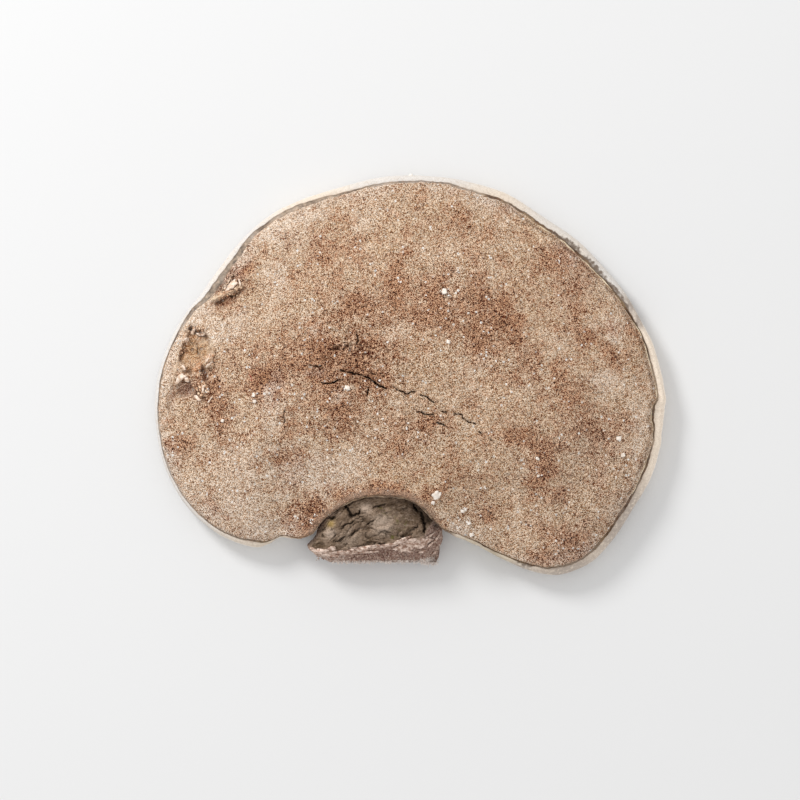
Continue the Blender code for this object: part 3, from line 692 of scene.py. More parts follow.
def makeCrust():
    spacing = crustValues["spacing"]
    low = crustBorder.min(axis=0) - spacing
    high = crustBorder.max(axis=0) + spacing
    across, along = np.ceil((high - low) / spacing).astype(int)
    crust = startPiece("crust", bpy.ops.mesh.primitive_grid_add, x_subdivisions=int(across),
                       y_subdivisions=int(along), size=1.0)
    places = getPoints(crust)
    places[:, :2] = low + (places[:, :2] + 0.5) * (high - low)
    setPoints(crust, places)

    # the grid is cut off outside the crust's border
    def wellInside(places):
        gap, spot, _ = nearestOn(places, crustBorder)
        return insideOf(places, crustBorder) & (gap > 0.3 * spacing), spot

    inner = wellInside(places[:, :2])[0]
    editWith(crust, faces=~inner[getCorners(crust)].any(axis=1))
    bpy.ops.mesh.delete(type="FACE")
    bpy.ops.object.mode_set(mode="OBJECT")

    # finer faces along the cracks and round the broken places
    places = getPoints(crust)[:, :2]
    dark = crackOpening(places)[1]
    lost, floor = wornAway(places)[:2]
    fine = (dark > 0.001) | (np.abs(lost) > 0.12 * mm) | (floor > 0.01)
    editWith(crust, faces=fine[getCorners(crust)].any(axis=1))
    bpy.ops.mesh.subdivide(number_cuts=1, smoothness=0.0)
    bpy.ops.object.mode_set(mode="OBJECT")

    # the outermost points move onto the border
    places = getPoints(crust)
    inner, spot = wellInside(places[:, :2])
    places[~inner, :2] = spot[~inner]
    places[:, 2] = crustSurface(places[:, :2])["height"]
    setPoints(crust, places)

    # the border is drawn down all round, and the crust is closed below
    editWith(crust)
    bpy.ops.mesh.select_all(action="SELECT")
    bpy.ops.mesh.region_to_loop()
    done = 0.0
    for drop in crustValues["skirt"]:
        bpy.ops.mesh.extrude_edges_move(TRANSFORM_OT_translate={"value": (0.0, 0.0, done - drop)})
        done = drop
    bpy.ops.mesh.edge_face_add()
    bpy.ops.object.mode_set(mode="OBJECT")
    faceOutwards(crust)

    places = getPoints(crust)
    surface = crustSurface(places[:, :2])
    below = surface["height"] - places[:, 2]
    skirt = below > 0.1 * mm
    roughen = 0.22 * mm * smoothNoise(places, 1.6 * mm, 91, 2)
    out = places[:, :2] - core
    out /= np.linalg.norm(out, axis=1)[:, None]
    places[skirt, :2] += out[skirt] * roughen[skirt, None]
    setPoints(crust, places)

    # what the material's colours follow
    x, y = places[:, :2].T
    gap = surface["gap"]
    for name in ("brown", "pale", "crackShade", "floor", "paintedShade", "lit"):
        store(crust, name, surface[name])
    for name in ("grey", "crumbly", "dusty"):
        store(crust, name, patchiness(places[:, :2], name))
    for name in ("orange", "worn"):
        store(crust, name, spots(places[:, :2], name))
    rightSide = ramp(x, 20.0 * mm, 70.0 * mm) * ramp(y, -85.0 * mm, -60.0 * mm)
    notchSide = ramp(-np.hypot(x + 20.0 * mm, y + 76.0 * mm), -38.0 * mm, -30.0 * mm)
    store(crust, "seam", np.exp(-((gap - 1.5 * mm) / (0.6 * mm)) ** 2) * rightSide)
    store(crust, "notchLip", ramp(-gap, -4.2 * mm, -1.6 * mm) * notchSide)
    edge = np.exp(-(gap / (8.0 * mm)) ** 1.5) * (0.75 + 0.6 * smoothNoise(places[:, :2], 10.0 * mm, 95, 3))
    edge *= 1.0 - rimPatches(places[:, :2], "dullEdge")
    store(crust, "edge", np.clip(edge, 0.0, 1.0) * (1.0 - notchSide))
    store(crust, "below", np.clip(below / (3.0 * mm), 0.0, 1.0))
    dress(crust, crustMaterial(), "bracket")


# The body: groove, rim, margin, foot and pore face
bodyValues = {
    "meridians": 1100,
    "sunkRings": 7,
    "sectionRings": 32,
    "poreRings": 13,
    "sunk": 4.3 * mm,
}
# Down the rim: a share of the groove's width and of the setback inwards, a length inwards in millimetres,
# a share of the margin's height, a height in millimetres, shares of the notch's extra height and undercut
rimSection = [
    (0.62, 1.00, 0.60, 0.93, 0.20, 1.00, 0.0),
    (0.30, 1.00, 0.00, 0.93, 0.20, 1.00, 0.0),
    (-0.20, 1.00, 0.00, 0.93, 0.25, 1.00, 0.0),
    (-0.55, 1.00, 0.00, 0.96, 0.20, 1.00, 0.0),
    (-0.20, 0.78, 0.00, 0.975, 0.0, 0.99, 0.0),
    (0.00, 0.36, 0.00, 0.93, 0.0, 0.97, 0.0),
    (0.00, 0.10, 0.00, 0.78, 0.0, 0.88, 0.1),
    (0.00, 0.00, 0.00, 0.58, 0.0, 0.66, 0.9),
    (0.00, 0.02, 0.00, 0.38, 0.0, 0.28, 1.0),
    (0.00, 0.00, 0.90, 0.18, 0.0, 0.10, 1.0),
    (0.00, 0.00, 2.20, 0.07, 0.0, 0.00, 1.0),
    (0.00, 0.00, 5.50, 0.00, 0.1, 0.00, 1.0),
]


def makeBody():
    count = bodyValues["meridians"]
    margin = evenlyAlong(edgeLoop, count)
    side = margin[:, :2]
    inward, setback, groove = acrossTheRim(margin)
    extra = domeHeight(side) - dome["marginHeight"]
    undercut = dome["undercut"] * ramp(extra, 0.0, 2.0 * dome["undercut"])

    # control rows, and then the rings on a smooth curve through them
    rows = []
    for grooveShare, inset, insetMore, height, heightMore, extraShare, undercutShare in rimSection:
        reach = groove * grooveShare + setback * inset + insetMore * mm + undercut * undercutShare
        level = dome["marginHeight"] * height + heightMore * mm + extra * extraShare
        rows.append(np.stack([reach, level], axis=1))
    rows = np.array(rows)
    last = len(rows) - 1
    rings = []
    for t in np.linspace(0.0, float(last), bodyValues["sectionRings"]):
        index = min(int(t), last - 1)
        nearby = (rows[min(max(index + shift, 0), last)] for shift in (-1, 0, 1, 2))
        rings.append(curveBetween(*nearby, t - index))

    # each ring's places, and its kind: 0 under the crust, then the row of the section, 12 on the pore face
    places = []
    kinds = []
    innerEdge = side + inward * rings[0][:, :1]
    for number in range(bodyValues["sunkRings"]):
        share = (number + 1) / bodyValues["sunkRings"]
        ground = core + (innerEdge + inward * 1.5 * mm * (share >= 1.0) - core) * min(share, 1.0)
        places.append(np.column_stack([ground, domeHeight(ground) - bodyValues["sunk"]]))
        kinds.append(0.0)
    for number, ring in enumerate(rings):
        places.append(np.column_stack([side + inward * ring[:, :1], np.maximum(ring[:, 1], 0.0)]))
        kinds.append(number / (len(rings) - 1) * last)
    foot = side + inward * rings[-1][:, :1]
    for number in range(bodyValues["poreRings"]):
        share = 1.0 - ((number + 1) / (bodyValues["poreRings"] + 1)) ** 1.1
        ground = core + (foot - core) * share
        places.append(np.column_stack([ground, np.zeros(count)]))
        kinds.append(12.0)

    body = startPiece("body", bpy.ops.mesh.primitive_uv_sphere_add, segments=count,
                      ring_count=len(places) + 1, radius=1.0)
    ball = getPoints(body)
    ring = np.rint(np.arccos(np.clip(ball[:, 2], -1.0, 1.0)) / math.pi * (len(places) + 1)).astype(int) - 1
    meridian = np.rint(np.arctan2(ball[:, 1], ball[:, 0]) / math.tau * count).astype(int) % count
    nearRing = np.clip(ring, 0, len(places) - 1)
    shaped = np.array(places)[nearRing, meridian]
    shaped[ring < 0] = (core[0], core[1], float(domeHeight(core[None])[0]) - bodyValues["sunk"])
    shaped[ring >= len(places)] = (core[0], core[1], 0.0)
    kind = np.array(kinds)[nearRing]
    setPoints(body, shaped)

    # uneven growth on the rim, and a gently uneven pore face
    normal = getPoints(body, "normal")
    under = (kind >= 11.0) & (shaped[:, 2] < 0.5 * mm)
    onRim = (kind > 2.6) & ~under
    notch = ramp(extra, 1.0 * mm, 5.0 * mm)[meridian]
    push = 0.16 * mm * smoothNoise(shaped, 9.0 * mm, 21, 2) + 0.12 * mm * smoothNoise(shaped, 2.6 * mm, 22, 2)
    bands = np.sin(shaped[:, 2] * 2600.0 + 2.5 * smoothNoise(shaped, 14.0 * mm, 23, 2))
    push += 0.10 * mm * bands * ramp(-shaped[:, 2], -10.5 * mm, -8.5 * mm)
    push += notch * (0.9 * mm * smoothNoise(shaped, 6.0 * mm, 24, 3) - 0.2 * mm)
    shaped += normal * (push * onRim)[:, None]
    lift = 0.5 + 0.5 * smoothNoise(shaped[:, :2], 26.0 * mm, 25, 3)
    fineLift = 0.5 + 0.5 * smoothNoise(shaped[:, :2], 4.0 * mm, 26, 2)
    lift = 0.55 * mm * ramp(lift, 0.30, 0.85) + 0.18 * mm * fineLift
    shaped[:, 2] += np.where(under, lift * ramp(kind, 11.0, 12.0), 0.0)
    shaped[:, 2] = np.maximum(shaped[:, 2], 0.0)
    setPoints(body, shaped)

    store(body, "groove", ramp(-kind, -3.3, -2.3) * (kind > 0.0) + (kind == 0.0))
    store(body, "across", np.clip(kind - 2.6, 0.0, 5.0) / 5.0)
    store(body, "under", ramp(kind, 9.0, 11.0))
    # where painted shade makes the groove darkest, deep under the crust
    store(body, "deep", 1.0 - ramp(kind, 0.3, 1.3))
    turn = meridian / count * math.tau
    drawnOut = np.column_stack([np.cos(turn), np.sin(turn)]) * 25.0 * mm
    store(body, "streak", smoothNoise(np.column_stack([drawnOut, kind * 0.55 * mm]), 0.6 * mm, 28, 2))
    # the notch is dark up to where the pale margin starts again on its right
    rightEnd = shaped[:, 0] + 2.5 * mm * smoothNoise(shaped, 4.0 * mm, 29, 3)
    store(body, "notch", notch * ramp(-rightEnd, -24.0 * mm, -17.0 * mm))
    for name in ("innerRimDark", "wholeRim", "olive", "white", "greyGroove", "sunny"):
        store(body, name, rimPatches(shaped[:, :2], name))
    dress(body, bodyMaterial(), "bracket")


# The old base in the notch
baseValues = {
    "outline": [(16.0, -79.0), (12.5, -70.0), (-2.0, -57.0), (-16.0, -54.0), (-31.0, -58.0), (-42.0, -70.0),
                (-47.5, -79.5), (-50.2, -83.4), (-47.5, -87.0), (-42.0, -90.0), (-34.5, -93.2),
                (-20.0, -95.5), (-4.0, -95.5), (9.0, -94.5), (13.2, -89.5), (14.2, -84.5)],
    "middle": (-17.0, -77.0),
    "underside": 1.5 * mm,
    "midHeight": 9.0 * mm,
    "frontHeight": 19.0 * mm,
    "slope": 0.34,
    "step": 2.2 * mm,
    "frontSlope": 0.62,
    "cutY": -91.3 * mm,
    # the line of pale splinters where the weathered top ends and the torn face starts
    "splinters": [(-52.0, -84.0), (-47.5, -85.9), (-40.5, -86.0), (-30.5, -85.8), (-25.6, -85.3),
                  (-20.6, -84.3), (-15.6, -83.4), (-9.6, -82.8), (-6.6, -81.4), (-2.6, -80.2), (2.0, -80.5),
                  (6.6, -79.0), (8.6, -74.5), (11.5, -70.5), (16.0, -68.0)],
}
baseCracks = [
    # x, y and width in millimetres, then depth
    ([(-38.0, -81.2, 0.5), (-34.5, -79.6, 1.1), (-31.0, -78.6, 0.4), (-28.0, -77.0, 0.9),
      (-24.6, -74.4, 0.7)], 2.8),
    ([(-23.5, -73.6, 0.3), (-20.6, -71.7, 0.9), (-16.6, -69.7, 0.4), (-11.0, -67.0, 0.3)], 2.0),
    ([(-35.0, -75.2, 0.3), (-30.5, -72.7, 0.8), (-26.6, -69.7, 0.7), (-22.0, -68.5, 0.3)], 2.0),
    ([(-42.8, -76.2, 0.6), (-42.3, -79.7, 0.6)], 1.6),
    ([(-31.5, -62.5, 1.2), (-29.3, -67.7, 2.6), (-26.6, -68.5, 1.4), (-24.0, -65.0, 0.8)], 3.4),
    ([(-1.6, -77.2, 0.5), (2.4, -74.2, 0.8), (5.4, -72.2, 0.9)], 2.0),
    ([(1.0, -62.5, 1.0), (4.5, -67.0, 2.2), (6.2, -70.2, 3.2), (6.8, -73.6, 2.2), (6.8, -77.0, 0.9)], 4.5),
    ([(-16.0, -81.9, 0.8), (-13.6, -81.6, 1.6), (-11.5, -81.2, 0.6)], 2.2),
    ([(-39.8, -69.0, 1.6), (-38.2, -69.6, 1.8), (-36.8, -68.8, 0.8)], 3.5),
    ([(-40.0, -73.5, 0.5), (-36.5, -77.5, 0.8), (-37.5, -80.0, 0.5)], 1.6),
    ([(-22.0, -79.0, 0.4), (-12.0, -76.0, 0.7), (-4.0, -78.0, 0.4)], 1.3),
    ([(-18.5, -64.5, 0.8), (-14.5, -63.5, 1.0), (-11.5, -62.0, 0.6)], 2.0),
    ([(-26.0, -73.0, 0.4), (-18.0, -74.5, 0.6), (-10.0, -78.5, 0.4)], 1.2),
]
baseCrackLines = [(roughLine(np.array(points) * mm, 0.7 * mm, 3.0 * mm, 110 + number), depth * mm)
                  for number, (points, depth) in enumerate(baseCracks)]
# lumps of the old flesh: x, y, reach and height in millimetres
baseLumps = [(-38.8, -72.4, 2.4, 1.2), (-39.5, -77.0, 2.8, 0.9), (-21.6, -65.0, 4.2, 1.6),
             (-16.5, -68.6, 2.6, 1.0), (-13.0, -73.0, 5.5, 1.3), (-29.5, -76.0, 4.0, 0.9),
             (-6.0, -69.0, 6.0, 0.9), (-46.0, -82.5, 3.0, -0.8), (-33.0, -66.0, 2.6, 1.0),
             (-23.0, -81.0, 5.0, 0.6), (1.0, -82.0, 3.5, 1.0)]


def baseSurface(places):
    # heights of the old base's top in plan, with its cracks and where painted shade darkens them, and where
    # its torn face is
    x, y = places.T
    splinterY = np.interp(x, *(np.array(baseValues["splinters"]).T * mm))
    splinterY = splinterY + 0.5 * mm * smoothNoise(places, 3.5 * mm, 121, 2)
    height = baseValues["frontHeight"] + baseValues["slope"] * (y + 84.5 * mm)
    turn = math.radians(32.0)
    across = x * math.sin(turn) - y * math.cos(turn) + 2.2 * mm * np.sin(x * 190.0)
    across += 1.4 * mm * smoothNoise(places, 9.0 * mm, 122, 2)
    ledge = (across / (6.8 * mm)) % 1.0
    ledgeFade = 1.0 - 0.7 * ramp(x, -14.0 * mm, -2.0 * mm) * ramp(y, -76.0 * mm, -70.0 * mm)
    height += 1.9 * mm * (0.5 - ledge + ramp(ledge, 0.82, 1.0)) * ledgeFade
    fineLedge = (across / (2.3 * mm) + 0.8 * smoothNoise(places, 6.0 * mm, 123, 2)) % 1.0
    height += 0.40 * mm * (0.5 - fineLedge + ramp(fineLedge, 0.72, 1.0)) * ledgeFade
    for lumpX, lumpY, reach, rise in baseLumps:
        away = np.hypot(x - lumpX * mm, y - lumpY * mm) / (reach * mm)
        height += rise * mm * np.exp(-1.5 * away ** 2)
    uneven = 0.55 * mm * smoothNoise(places, 4.5 * mm, 124, 3)
    height += uneven + 0.16 * mm * smoothNoise(places, 1.2 * mm, 125, 2)
    dark = np.zeros(len(places))
    for line, depth in baseCrackLines:
        gap, _, where = nearestOn(places, line[:, :2], closed=False)
        width = np.interp(where, np.arange(len(line)), line[:, 2])
        opened = ramp(-gap, -(width * 0.36 + 0.32 * mm), -width * 0.05) * ramp(width, 0.15 * mm, 0.7 * mm)
        height -= depth * opened
        dark = np.maximum(dark, opened)
    # a network of little crevices drawn out along the slant
    along = x * math.cos(turn) + y * math.sin(turn)
    drawn = np.column_stack([along / 2.6, across / 1.0])
    for size, seed, depth in ((2.9 * mm, 141, 1.3 * mm), (1.3 * mm, 143, 0.45 * mm)):
        field = smoothNoise(drawn, size, seed, 3)
        where = ramp(smoothNoise(places, 5.0 * mm, seed + 1, 2), -0.25, 0.35)
        shadedCrevice = ramp(-np.abs(field), -0.085, -0.01) * where
        height += 0.55 * depth * (np.abs(field) - 0.25) * 2.0 - depth * shadedCrevice
        dark = np.maximum(dark, 0.8 * shadedCrevice)
    # in front of the splinters the face is torn and falls away, uneven like torn cork
    beyond = splinterY - y
    torn = ramp(beyond, -0.2 * mm, 0.6 * mm)
    near, own = grains(places, 1.5 * mm, 127)
    tornHeight = baseValues["frontHeight"] - 0.4 * mm - baseValues["step"] * ramp(beyond, 0.0, 1.2 * mm)
    tornHeight -= baseValues["frontSlope"] * np.maximum(beyond, 0.0) * 0.95
    tornHeight += 1.1 * mm * smoothNoise(places, 2.6 * mm, 128, 3) + 0.7 * mm * (own - near)
    # towards the right the torn flesh goes up beside the weathered part, to the crust
    climb = ramp(x, 2.0 * mm, 11.0 * mm) * ramp(y, -90.0 * mm, -74.0 * mm)
    tornHeight += 5.0 * mm * climb
    height = height * (1.0 - torn) + np.minimum(tornHeight, height + 1.0 * mm) * torn
    pale = np.exp(-((beyond - 0.5 * mm) / (1.1 * mm)) ** 2) * ramp(-x, -13.0 * mm, -4.0 * mm)
    return height, dark * (1.0 - torn), torn, pale


baseMiddle = np.array(baseValues["middle"]) * mm
baseLoop = smoothLoop(baseValues["outline"]) * mm - baseMiddle
baseTurns = np.unwrap(np.arctan2(baseLoop[:, 1], baseLoop[:, 0]))
baseReaches = np.hypot(baseLoop[:, 0], baseLoop[:, 1])


def baseReach(turn):
    return np.interp(turn, baseTurns, baseReaches, period=math.tau)


# Blotches of its colours: x, y and reach in millimetres, strength
baseBlotches = {
    "pale": [(-13.6, -72.7, 6.0, 1.0), (-39.0, -76.9, 3.0, 1.1), (-21.6, -64.5, 4.0, 0.8),
             (-30.0, -80.0, 7.0, 0.5)],
    "green": [(-12.8, -65.0, 2.6, 1.0), (-4.1, -73.2, 2.4, 1.0), (-9.1, -78.3, 2.2, 1.0),
              (-6.0, -69.0, 2.0, 1.0), (12.0, -68.0, 2.0, 0.8)],
    "yellow": [(-38.8, -72.2, 1.9, 1.0)],
    "shadow": [(-30.0, -66.0, 3.5, 1.0), (5.5, -69.0, 4.0, 1.0)],
    # painted shadow under the crust's lip
    "lipShadow": [(8.6, -70.4, 2.0, 1.0), (12.4, -73.4, 1.8, 1.0), (3.0, -64.5, 3.0, 0.7)],
    # the torn face is pale at its left end, and reddish dark under the splinters
    "lightTorn": [(-43.0, -87.5, 6.0, 1.0), (-36.0, -88.5, 4.0, 1.0), (-2.0, -82.0, 4.5, 0.8),
                  (4.0, -81.0, 4.0, 0.7), (11.0, -89.5, 4.0, 0.6)],
    "darkTorn": [(-20.0, -86.8, 4.5, 1.0), (-12.0, -86.4, 4.0, 1.0), (-27.0, -87.6, 3.5, 1.0),
                 (-5.0, -86.8, 3.0, 0.9), (3.0, -86.5, 4.0, 0.6)],
}


def makeBase():
    base = startPiece("oldBase", bpy.ops.mesh.primitive_ico_sphere_add, subdivisions=7, radius=1.0)
    ball = getPoints(base)
    turn = np.arctan2(ball[:, 1], ball[:, 0])
    wide = np.hypot(ball[:, 0], ball[:, 1])
    outward = np.column_stack([np.cos(turn), np.sin(turn)])
    places = np.zeros_like(ball)
    places[:, :2] = baseMiddle + (baseReach(turn) * wide ** 0.8)[:, None] * outward
    # the sides are uneven too
    push = 0.8 * mm * smoothNoise(np.column_stack([places[:, :2], ball[:, 2] * 8.0 * mm]), 3.0 * mm, 131, 3)
    places[:, :2] += outward * (push * ramp(wide, 0.80, 0.99))[:, None]
    end = np.where(ball[:, 2] > 0.0, baseSurface(places[:, :2])[0], baseValues["underside"])
    mid = baseValues["midHeight"]
    places[:, 2] = mid + (end - mid) * np.abs(ball[:, 2]) ** 0.5
    setPoints(base, places)

    # its back is sawn off flat
    editWith(base, faces=np.ones(len(base.data.polygons), dtype=bool))
    bpy.ops.mesh.select_all(action="SELECT")
    bpy.ops.mesh.bisect(plane_co=(0.0, baseValues["cutY"], 0.0), plane_no=(0.0, -1.0, 0.0),
                        use_fill=True, clear_outer=True)
    bpy.ops.object.mode_set(mode="OBJECT")
    faceOutwards(base)

    places = getPoints(base)
    x, y = places[:, :2].T
    height, dark, torn, pale = baseSurface(places[:, :2])
    lower = ramp(height - places[:, 2], 3.5 * mm, 8.0 * mm)
    blotches = {}
    for kind, marks in baseBlotches.items():
        blotches[kind] = np.maximum.reduce([
            strength * np.exp(-(np.hypot(x - atX * mm, y - atY * mm) / (reach * mm)) ** 2)
            for atX, atY, reach, strength in marks])
    blotches["shadow"] = np.maximum(ramp(y, -66.0 * mm, -58.0 * mm), blotches["shadow"])
    # the torn face is pale along its lower edge as well
    lowerEdge = np.exp(-((y - baseValues["cutY"]) / (0.9 * mm)) ** 2)
    blotches["lightTorn"] = np.maximum(blotches["lightTorn"], lowerEdge)
    blotches["darkTorn"] = blotches["darkTorn"] * (1.0 - lower)
    for kind, values in blotches.items():
        store(base, kind, values)
    store(base, "shadedCrevice", dark * (1.0 - lower))
    store(base, "torn", np.clip(torn + 0.85 * lower, 0.0, 1.0))
    store(base, "splinter", pale * (1.0 - lower))
    store(base, "sawn", (y < baseValues["cutY"] + 0.02 * mm).astype(float))
    dress(base, baseMaterial())


# Colours and materials


def rgb(red, green, blue):
    # a colour as seen on a screen, from 0 to 255, made linear
    parts = [value / 255.0 for value in (red, green, blue)]
    linear = [part / 12.92 if part <= 0.04045 else ((part + 0.055) / 1.055) ** 2.4 for part in parts]
    return (*linear, 1.0)


class NodeBench:
    # A short way to add a material's nodes and wire them. A name stands for one of the material's own
    # colours where a colour is blended, and for a value stored on the mesh anywhere else.
    def __init__(self, name, colours=None):
        self.colours = colours
        self.material = bpy.data.materials.new(name)
        self.material.use_nodes = True
        self.tree = self.material.node_tree
        self.shader = self.tree.nodes["Principled BSDF"]
        self.place = self.add("ShaderNodeTexCoord").outputs["Object"]

    def connect(self, value, socket):
        if isinstance(value, str):
            value = self.add("ShaderNodeAttribute", attribute_name=value).outputs["Fac"]
        if isinstance(value, bpy.types.NodeSocket):
            self.tree.links.new(value, socket)
        else:
            socket.default_value = value

    def add(self, kind, inputs=None, **settings):
        made = self.tree.nodes.new(kind)
        for key, value in settings.items():
            setattr(made, key, value)
        for key, value in (inputs or {}).items():
            self.connect(value, made.inputs[key])
        return made

    def noise(self, perMetre, detail=2.0, roughness=0.55, distortion=0.0, place=None):
        made = self.add("ShaderNodeTexNoise", {
            "Vector": place or self.place, "Scale": perMetre, "Detail": detail,
            "Roughness": roughness, "Distortion": distortion})
        return made.outputs["Fac"]

    def cells(self, perMetre):
        return self.add("ShaderNodeTexVoronoi", {"Vector": self.place, "Scale": perMetre})

    def math(self, operation, *values):
        result = values[0]
        for value in values[1:]:
            result = self.add("ShaderNodeMath", {0: result, 1: value}, operation=operation).outputs[0]
        return result

    def times(self, *values):
        return self.math("MULTIPLY", *values)

    def plus(self, *values):
        return self.math("ADD", *values)

    def minus(self, *values):
        return self.math("SUBTRACT", *values)

    def around(self, noise, weight):
        # a noise set about 0 and made stronger
        return self.times(self.minus(noise, 0.5), weight)

    def band(self, value, low, high, start=0.0, end=1.0, way="SMOOTHSTEP"):
        inputs = {"Value": value, "From Min": low, "From Max": high, "To Min": start, "To Max": end}
        return self.add("ShaderNodeMapRange", inputs, interpolation_type=way).outputs["Result"]

    def scaled(self, colour, factor):
        made = self.add("ShaderNodeVectorMath", {0: colour, "Scale": factor}, operation="SCALE")
        return made.outputs["Vector"]

    def blend(self, share, *colours):
        first, second = (rgb(*self.colours[colour]) if isinstance(colour, str) else colour
                         for colour in colours)
        return self.add("ShaderNodeMix", {0: share, 6: first, 7: second}, data_type="RGBA").outputs[2]

    def bump(self, height, distance, strength=1.0, under=None):
        inputs = {"Height": height, "Distance": distance, "Strength": strength}
        if under:
            inputs["Normal"] = under
        return self.add("ShaderNodeBump", inputs).outputs["Normal"]

    def finish(self, colour, roughness, normal=None):
        self.connect(colour, self.shader.inputs["Base Color"])
        self.connect(roughness, self.shader.inputs["Roughness"])
        if normal:
            self.connect(normal, self.shader.inputs["Normal"])
        self.connect(0.22, self.shader.inputs["Specular IOR Level"])
        return self.material


crustColours = {
    "tan": (223, 188, 153),
    "brown": (193, 133, 90),
    "deepBrown": (166, 103, 64),
    "pale": (242, 216, 191),
    "grey": (206, 179, 155),
    "edge": (238, 213, 190),
    "whiteGrain": (255, 250, 244),
    "darkGrain": (72, 42, 26),
    "crackShade": (58, 36, 23),
    "floor": (204, 160, 116),
    "floorPale": (212, 180, 150),
    "orange": (230, 174, 130),
    "worn": (178, 134, 108),
    "flesh": (112, 82, 60),
    "notchLip": (178, 146, 124),
    # the colours of the painted shade and of the painted highlights on what is broken
    "shade": (98, 62, 42),
    "highlightCream": (253, 225, 193),
}


def crustMaterial():
    bench = NodeBench("dustyCrust", crustColours)
    speckle = bench.noise(1250.0, 2.0, 0.6)
    sand = bench.noise(2300.0, 1.0, 0.5)
    lumps = bench.noise(330.0, 3.0, 0.6)
    cloud = bench.noise(110.0, 3.0, 0.6)
    crumbs = bench.cells(620.0).outputs["Distance"]
    grain = bench.cells(820.0)
    grainTone = bench.add("ShaderNodeSeparateColor", {"Color": grain.outputs["Color"]}).outputs[0]
    fromGrain = grain.outputs["Distance"]

    # the patches break up into grains at their edges
    offset = bench.plus(bench.around(speckle, 0.8), bench.around(cloud, 1.7), bench.around(lumps, 1.3))
    brownEdge = bench.plus("brown", offset)
    paleEdge = bench.minus("pale", bench.times(offset, 0.7))
    colour = bench.blend(bench.band(brownEdge, -0.15, 0.65, 0.0, 0.95), "tan", "brown")
    colour = bench.blend(bench.band(brownEdge, 0.50, 1.20, 0.0, 0.9), colour, "deepBrown")
    colour = bench.blend(bench.times("grey", 0.5), colour, "grey")
    edge = bench.minus("edge", bench.times(offset, 0.5))
    colour = bench.blend(bench.band(edge, 0.15, 0.95, 0.0, 0.8), colour, "edge")
    colour = bench.blend(bench.band(paleEdge, 0.10, 0.85, 0.0, 0.75), colour, "pale")
    floorTone = bench.blend(bench.band(cloud, 0.42, 0.62, 0.1, 0.7), "floor", "floorPale")
    colour = bench.blend(bench.times("floor", 0.90), colour, floorTone)
    for name in ("orange", "worn"):
        colour = bench.blend(bench.times(name, bench.band(lumps, 0.35, 0.6, 0.6, 1.0)), colour, name)

    # every grain has its own tone, and the darker ones are browner; there is more of it in the brown patches
    tone = bench.plus(*(bench.around(noise, weight) for noise, weight in (
        (speckle, 7.0), (sand, 13.5), (grainTone, 1.0), (lumps, 1.2))))
    # painted shade in the gaps between the bigger crumbs of the rough places, and painted highlights on their
    # tops
    tone = bench.plus(tone, bench.times("crumbly", bench.band(crumbs, 0.30, 0.65, 1.1, -1.2, "LINEAR")))
    busy = bench.times(bench.band(brownEdge, -0.10, 0.80, 0.76, 1.55),
                       bench.band(paleEdge, 0.10, 0.90, 1.0, 0.72),
                       bench.minus(1.0, bench.times("floor", 0.55)),
                       bench.plus(1.0, bench.times("dusty", 0.55)))
    depth = bench.times(tone, bench.times(busy, -1.0))
    depth = bench.math("MINIMUM", bench.math("MAXIMUM", depth, -0.55), 2.6)
    gamma = bench.plus(bench.times(depth, 0.72), 1.0)
    colour = bench.add("ShaderNodeGamma", {"Color": colour, "Gamma": gamma}).outputs["Color"]
    colour = bench.scaled(colour, bench.minus(1.0, bench.times(depth, 0.24)))

    # white and dark grains
    ragged = bench.plus(fromGrain, bench.around(sand, 0.9))
    chosen = bench.plus(grainTone, bench.times("dusty", 0.05))
    speck = bench.times(bench.band(chosen, 0.968, 0.98), bench.band(ragged, 0.54, 0.40),
                        bench.band(bench.noise(170.0), 0.44, 0.56, 0.15, 1.0))
    colour = bench.blend(speck, colour, "whiteGrain")
    hole = bench.times(bench.band(grainTone, 0.18, 0.11), bench.band(fromGrain, 0.48, 0.32),
                       bench.band(brownEdge, 0.0, 0.55, 0.35, 1.0), 0.95)
    colour = bench.blend(hole, colour, "darkGrain")

    # painted shade and painted highlights on what is broken, the seam behind the right border and the lip
    # over the notch:
    # where they are, the noise that breaks them up, its band, their strength and their colour
    for name, noise, band, most, tint in (("paintedShade", speckle, (0.35, 0.60, 0.45, 1.0), 0.92, "shade"),
                                          ("lit", speckle, (0.35, 0.55, 0.30, 1.0), 0.95, "highlightCream"),
                                          ("seam", lumps, (0.40, 0.55, 0.30, 1.0), 0.85, "flesh"),
                                          ("notchLip", lumps, (0.35, 0.60, 0.35, 0.9), 1.0, "notchLip")):
        colour = bench.blend(bench.times(name, bench.band(noise, *band), most), colour, tint)
    colour = bench.blend(bench.band("below", 0.25, 0.9, 0.0, 0.8), colour, "flesh")
    # painted shade in the cracks
    crackShare = bench.plus("crackShade", bench.around(sand, 0.7))
    colour = bench.blend(bench.band(crackShare, 0.35, 0.85, 0.0, 0.93), colour, "crackShade")

    relief = bench.bump(bench.times("crumbly", bench.minus(1.0, crumbs)), 1.0 * mm)
    relief = bench.bump(speckle, 1.5 * mm, 1.0, relief)
    relief = bench.bump(bench.minus(1.0, fromGrain), 0.5 * mm, 0.9, relief)
    relief = bench.bump(sand, 0.6 * mm, 1.0, relief)
    return bench.finish(colour, 0.92, relief)


bodyColours = {
    "rim": (226, 211, 194),
    "rimLight": (244, 234, 222),
    "white": (216, 213, 210),
    "innerRimDark": (124, 110, 98),
    "olive": (168, 156, 128),
    "groove": (112, 84, 62),
    "grooveTan": (164, 142, 112),
    "grooveGrey": (186, 168, 150),
    "pinkGrey": (174, 161, 151),
    "pores": (218, 203, 180),
    "poreStain": (150, 114, 84),
    "notch": (92, 72, 56),
    "notchLight": (140, 116, 94),
    "freckle": (188, 168, 148),
}


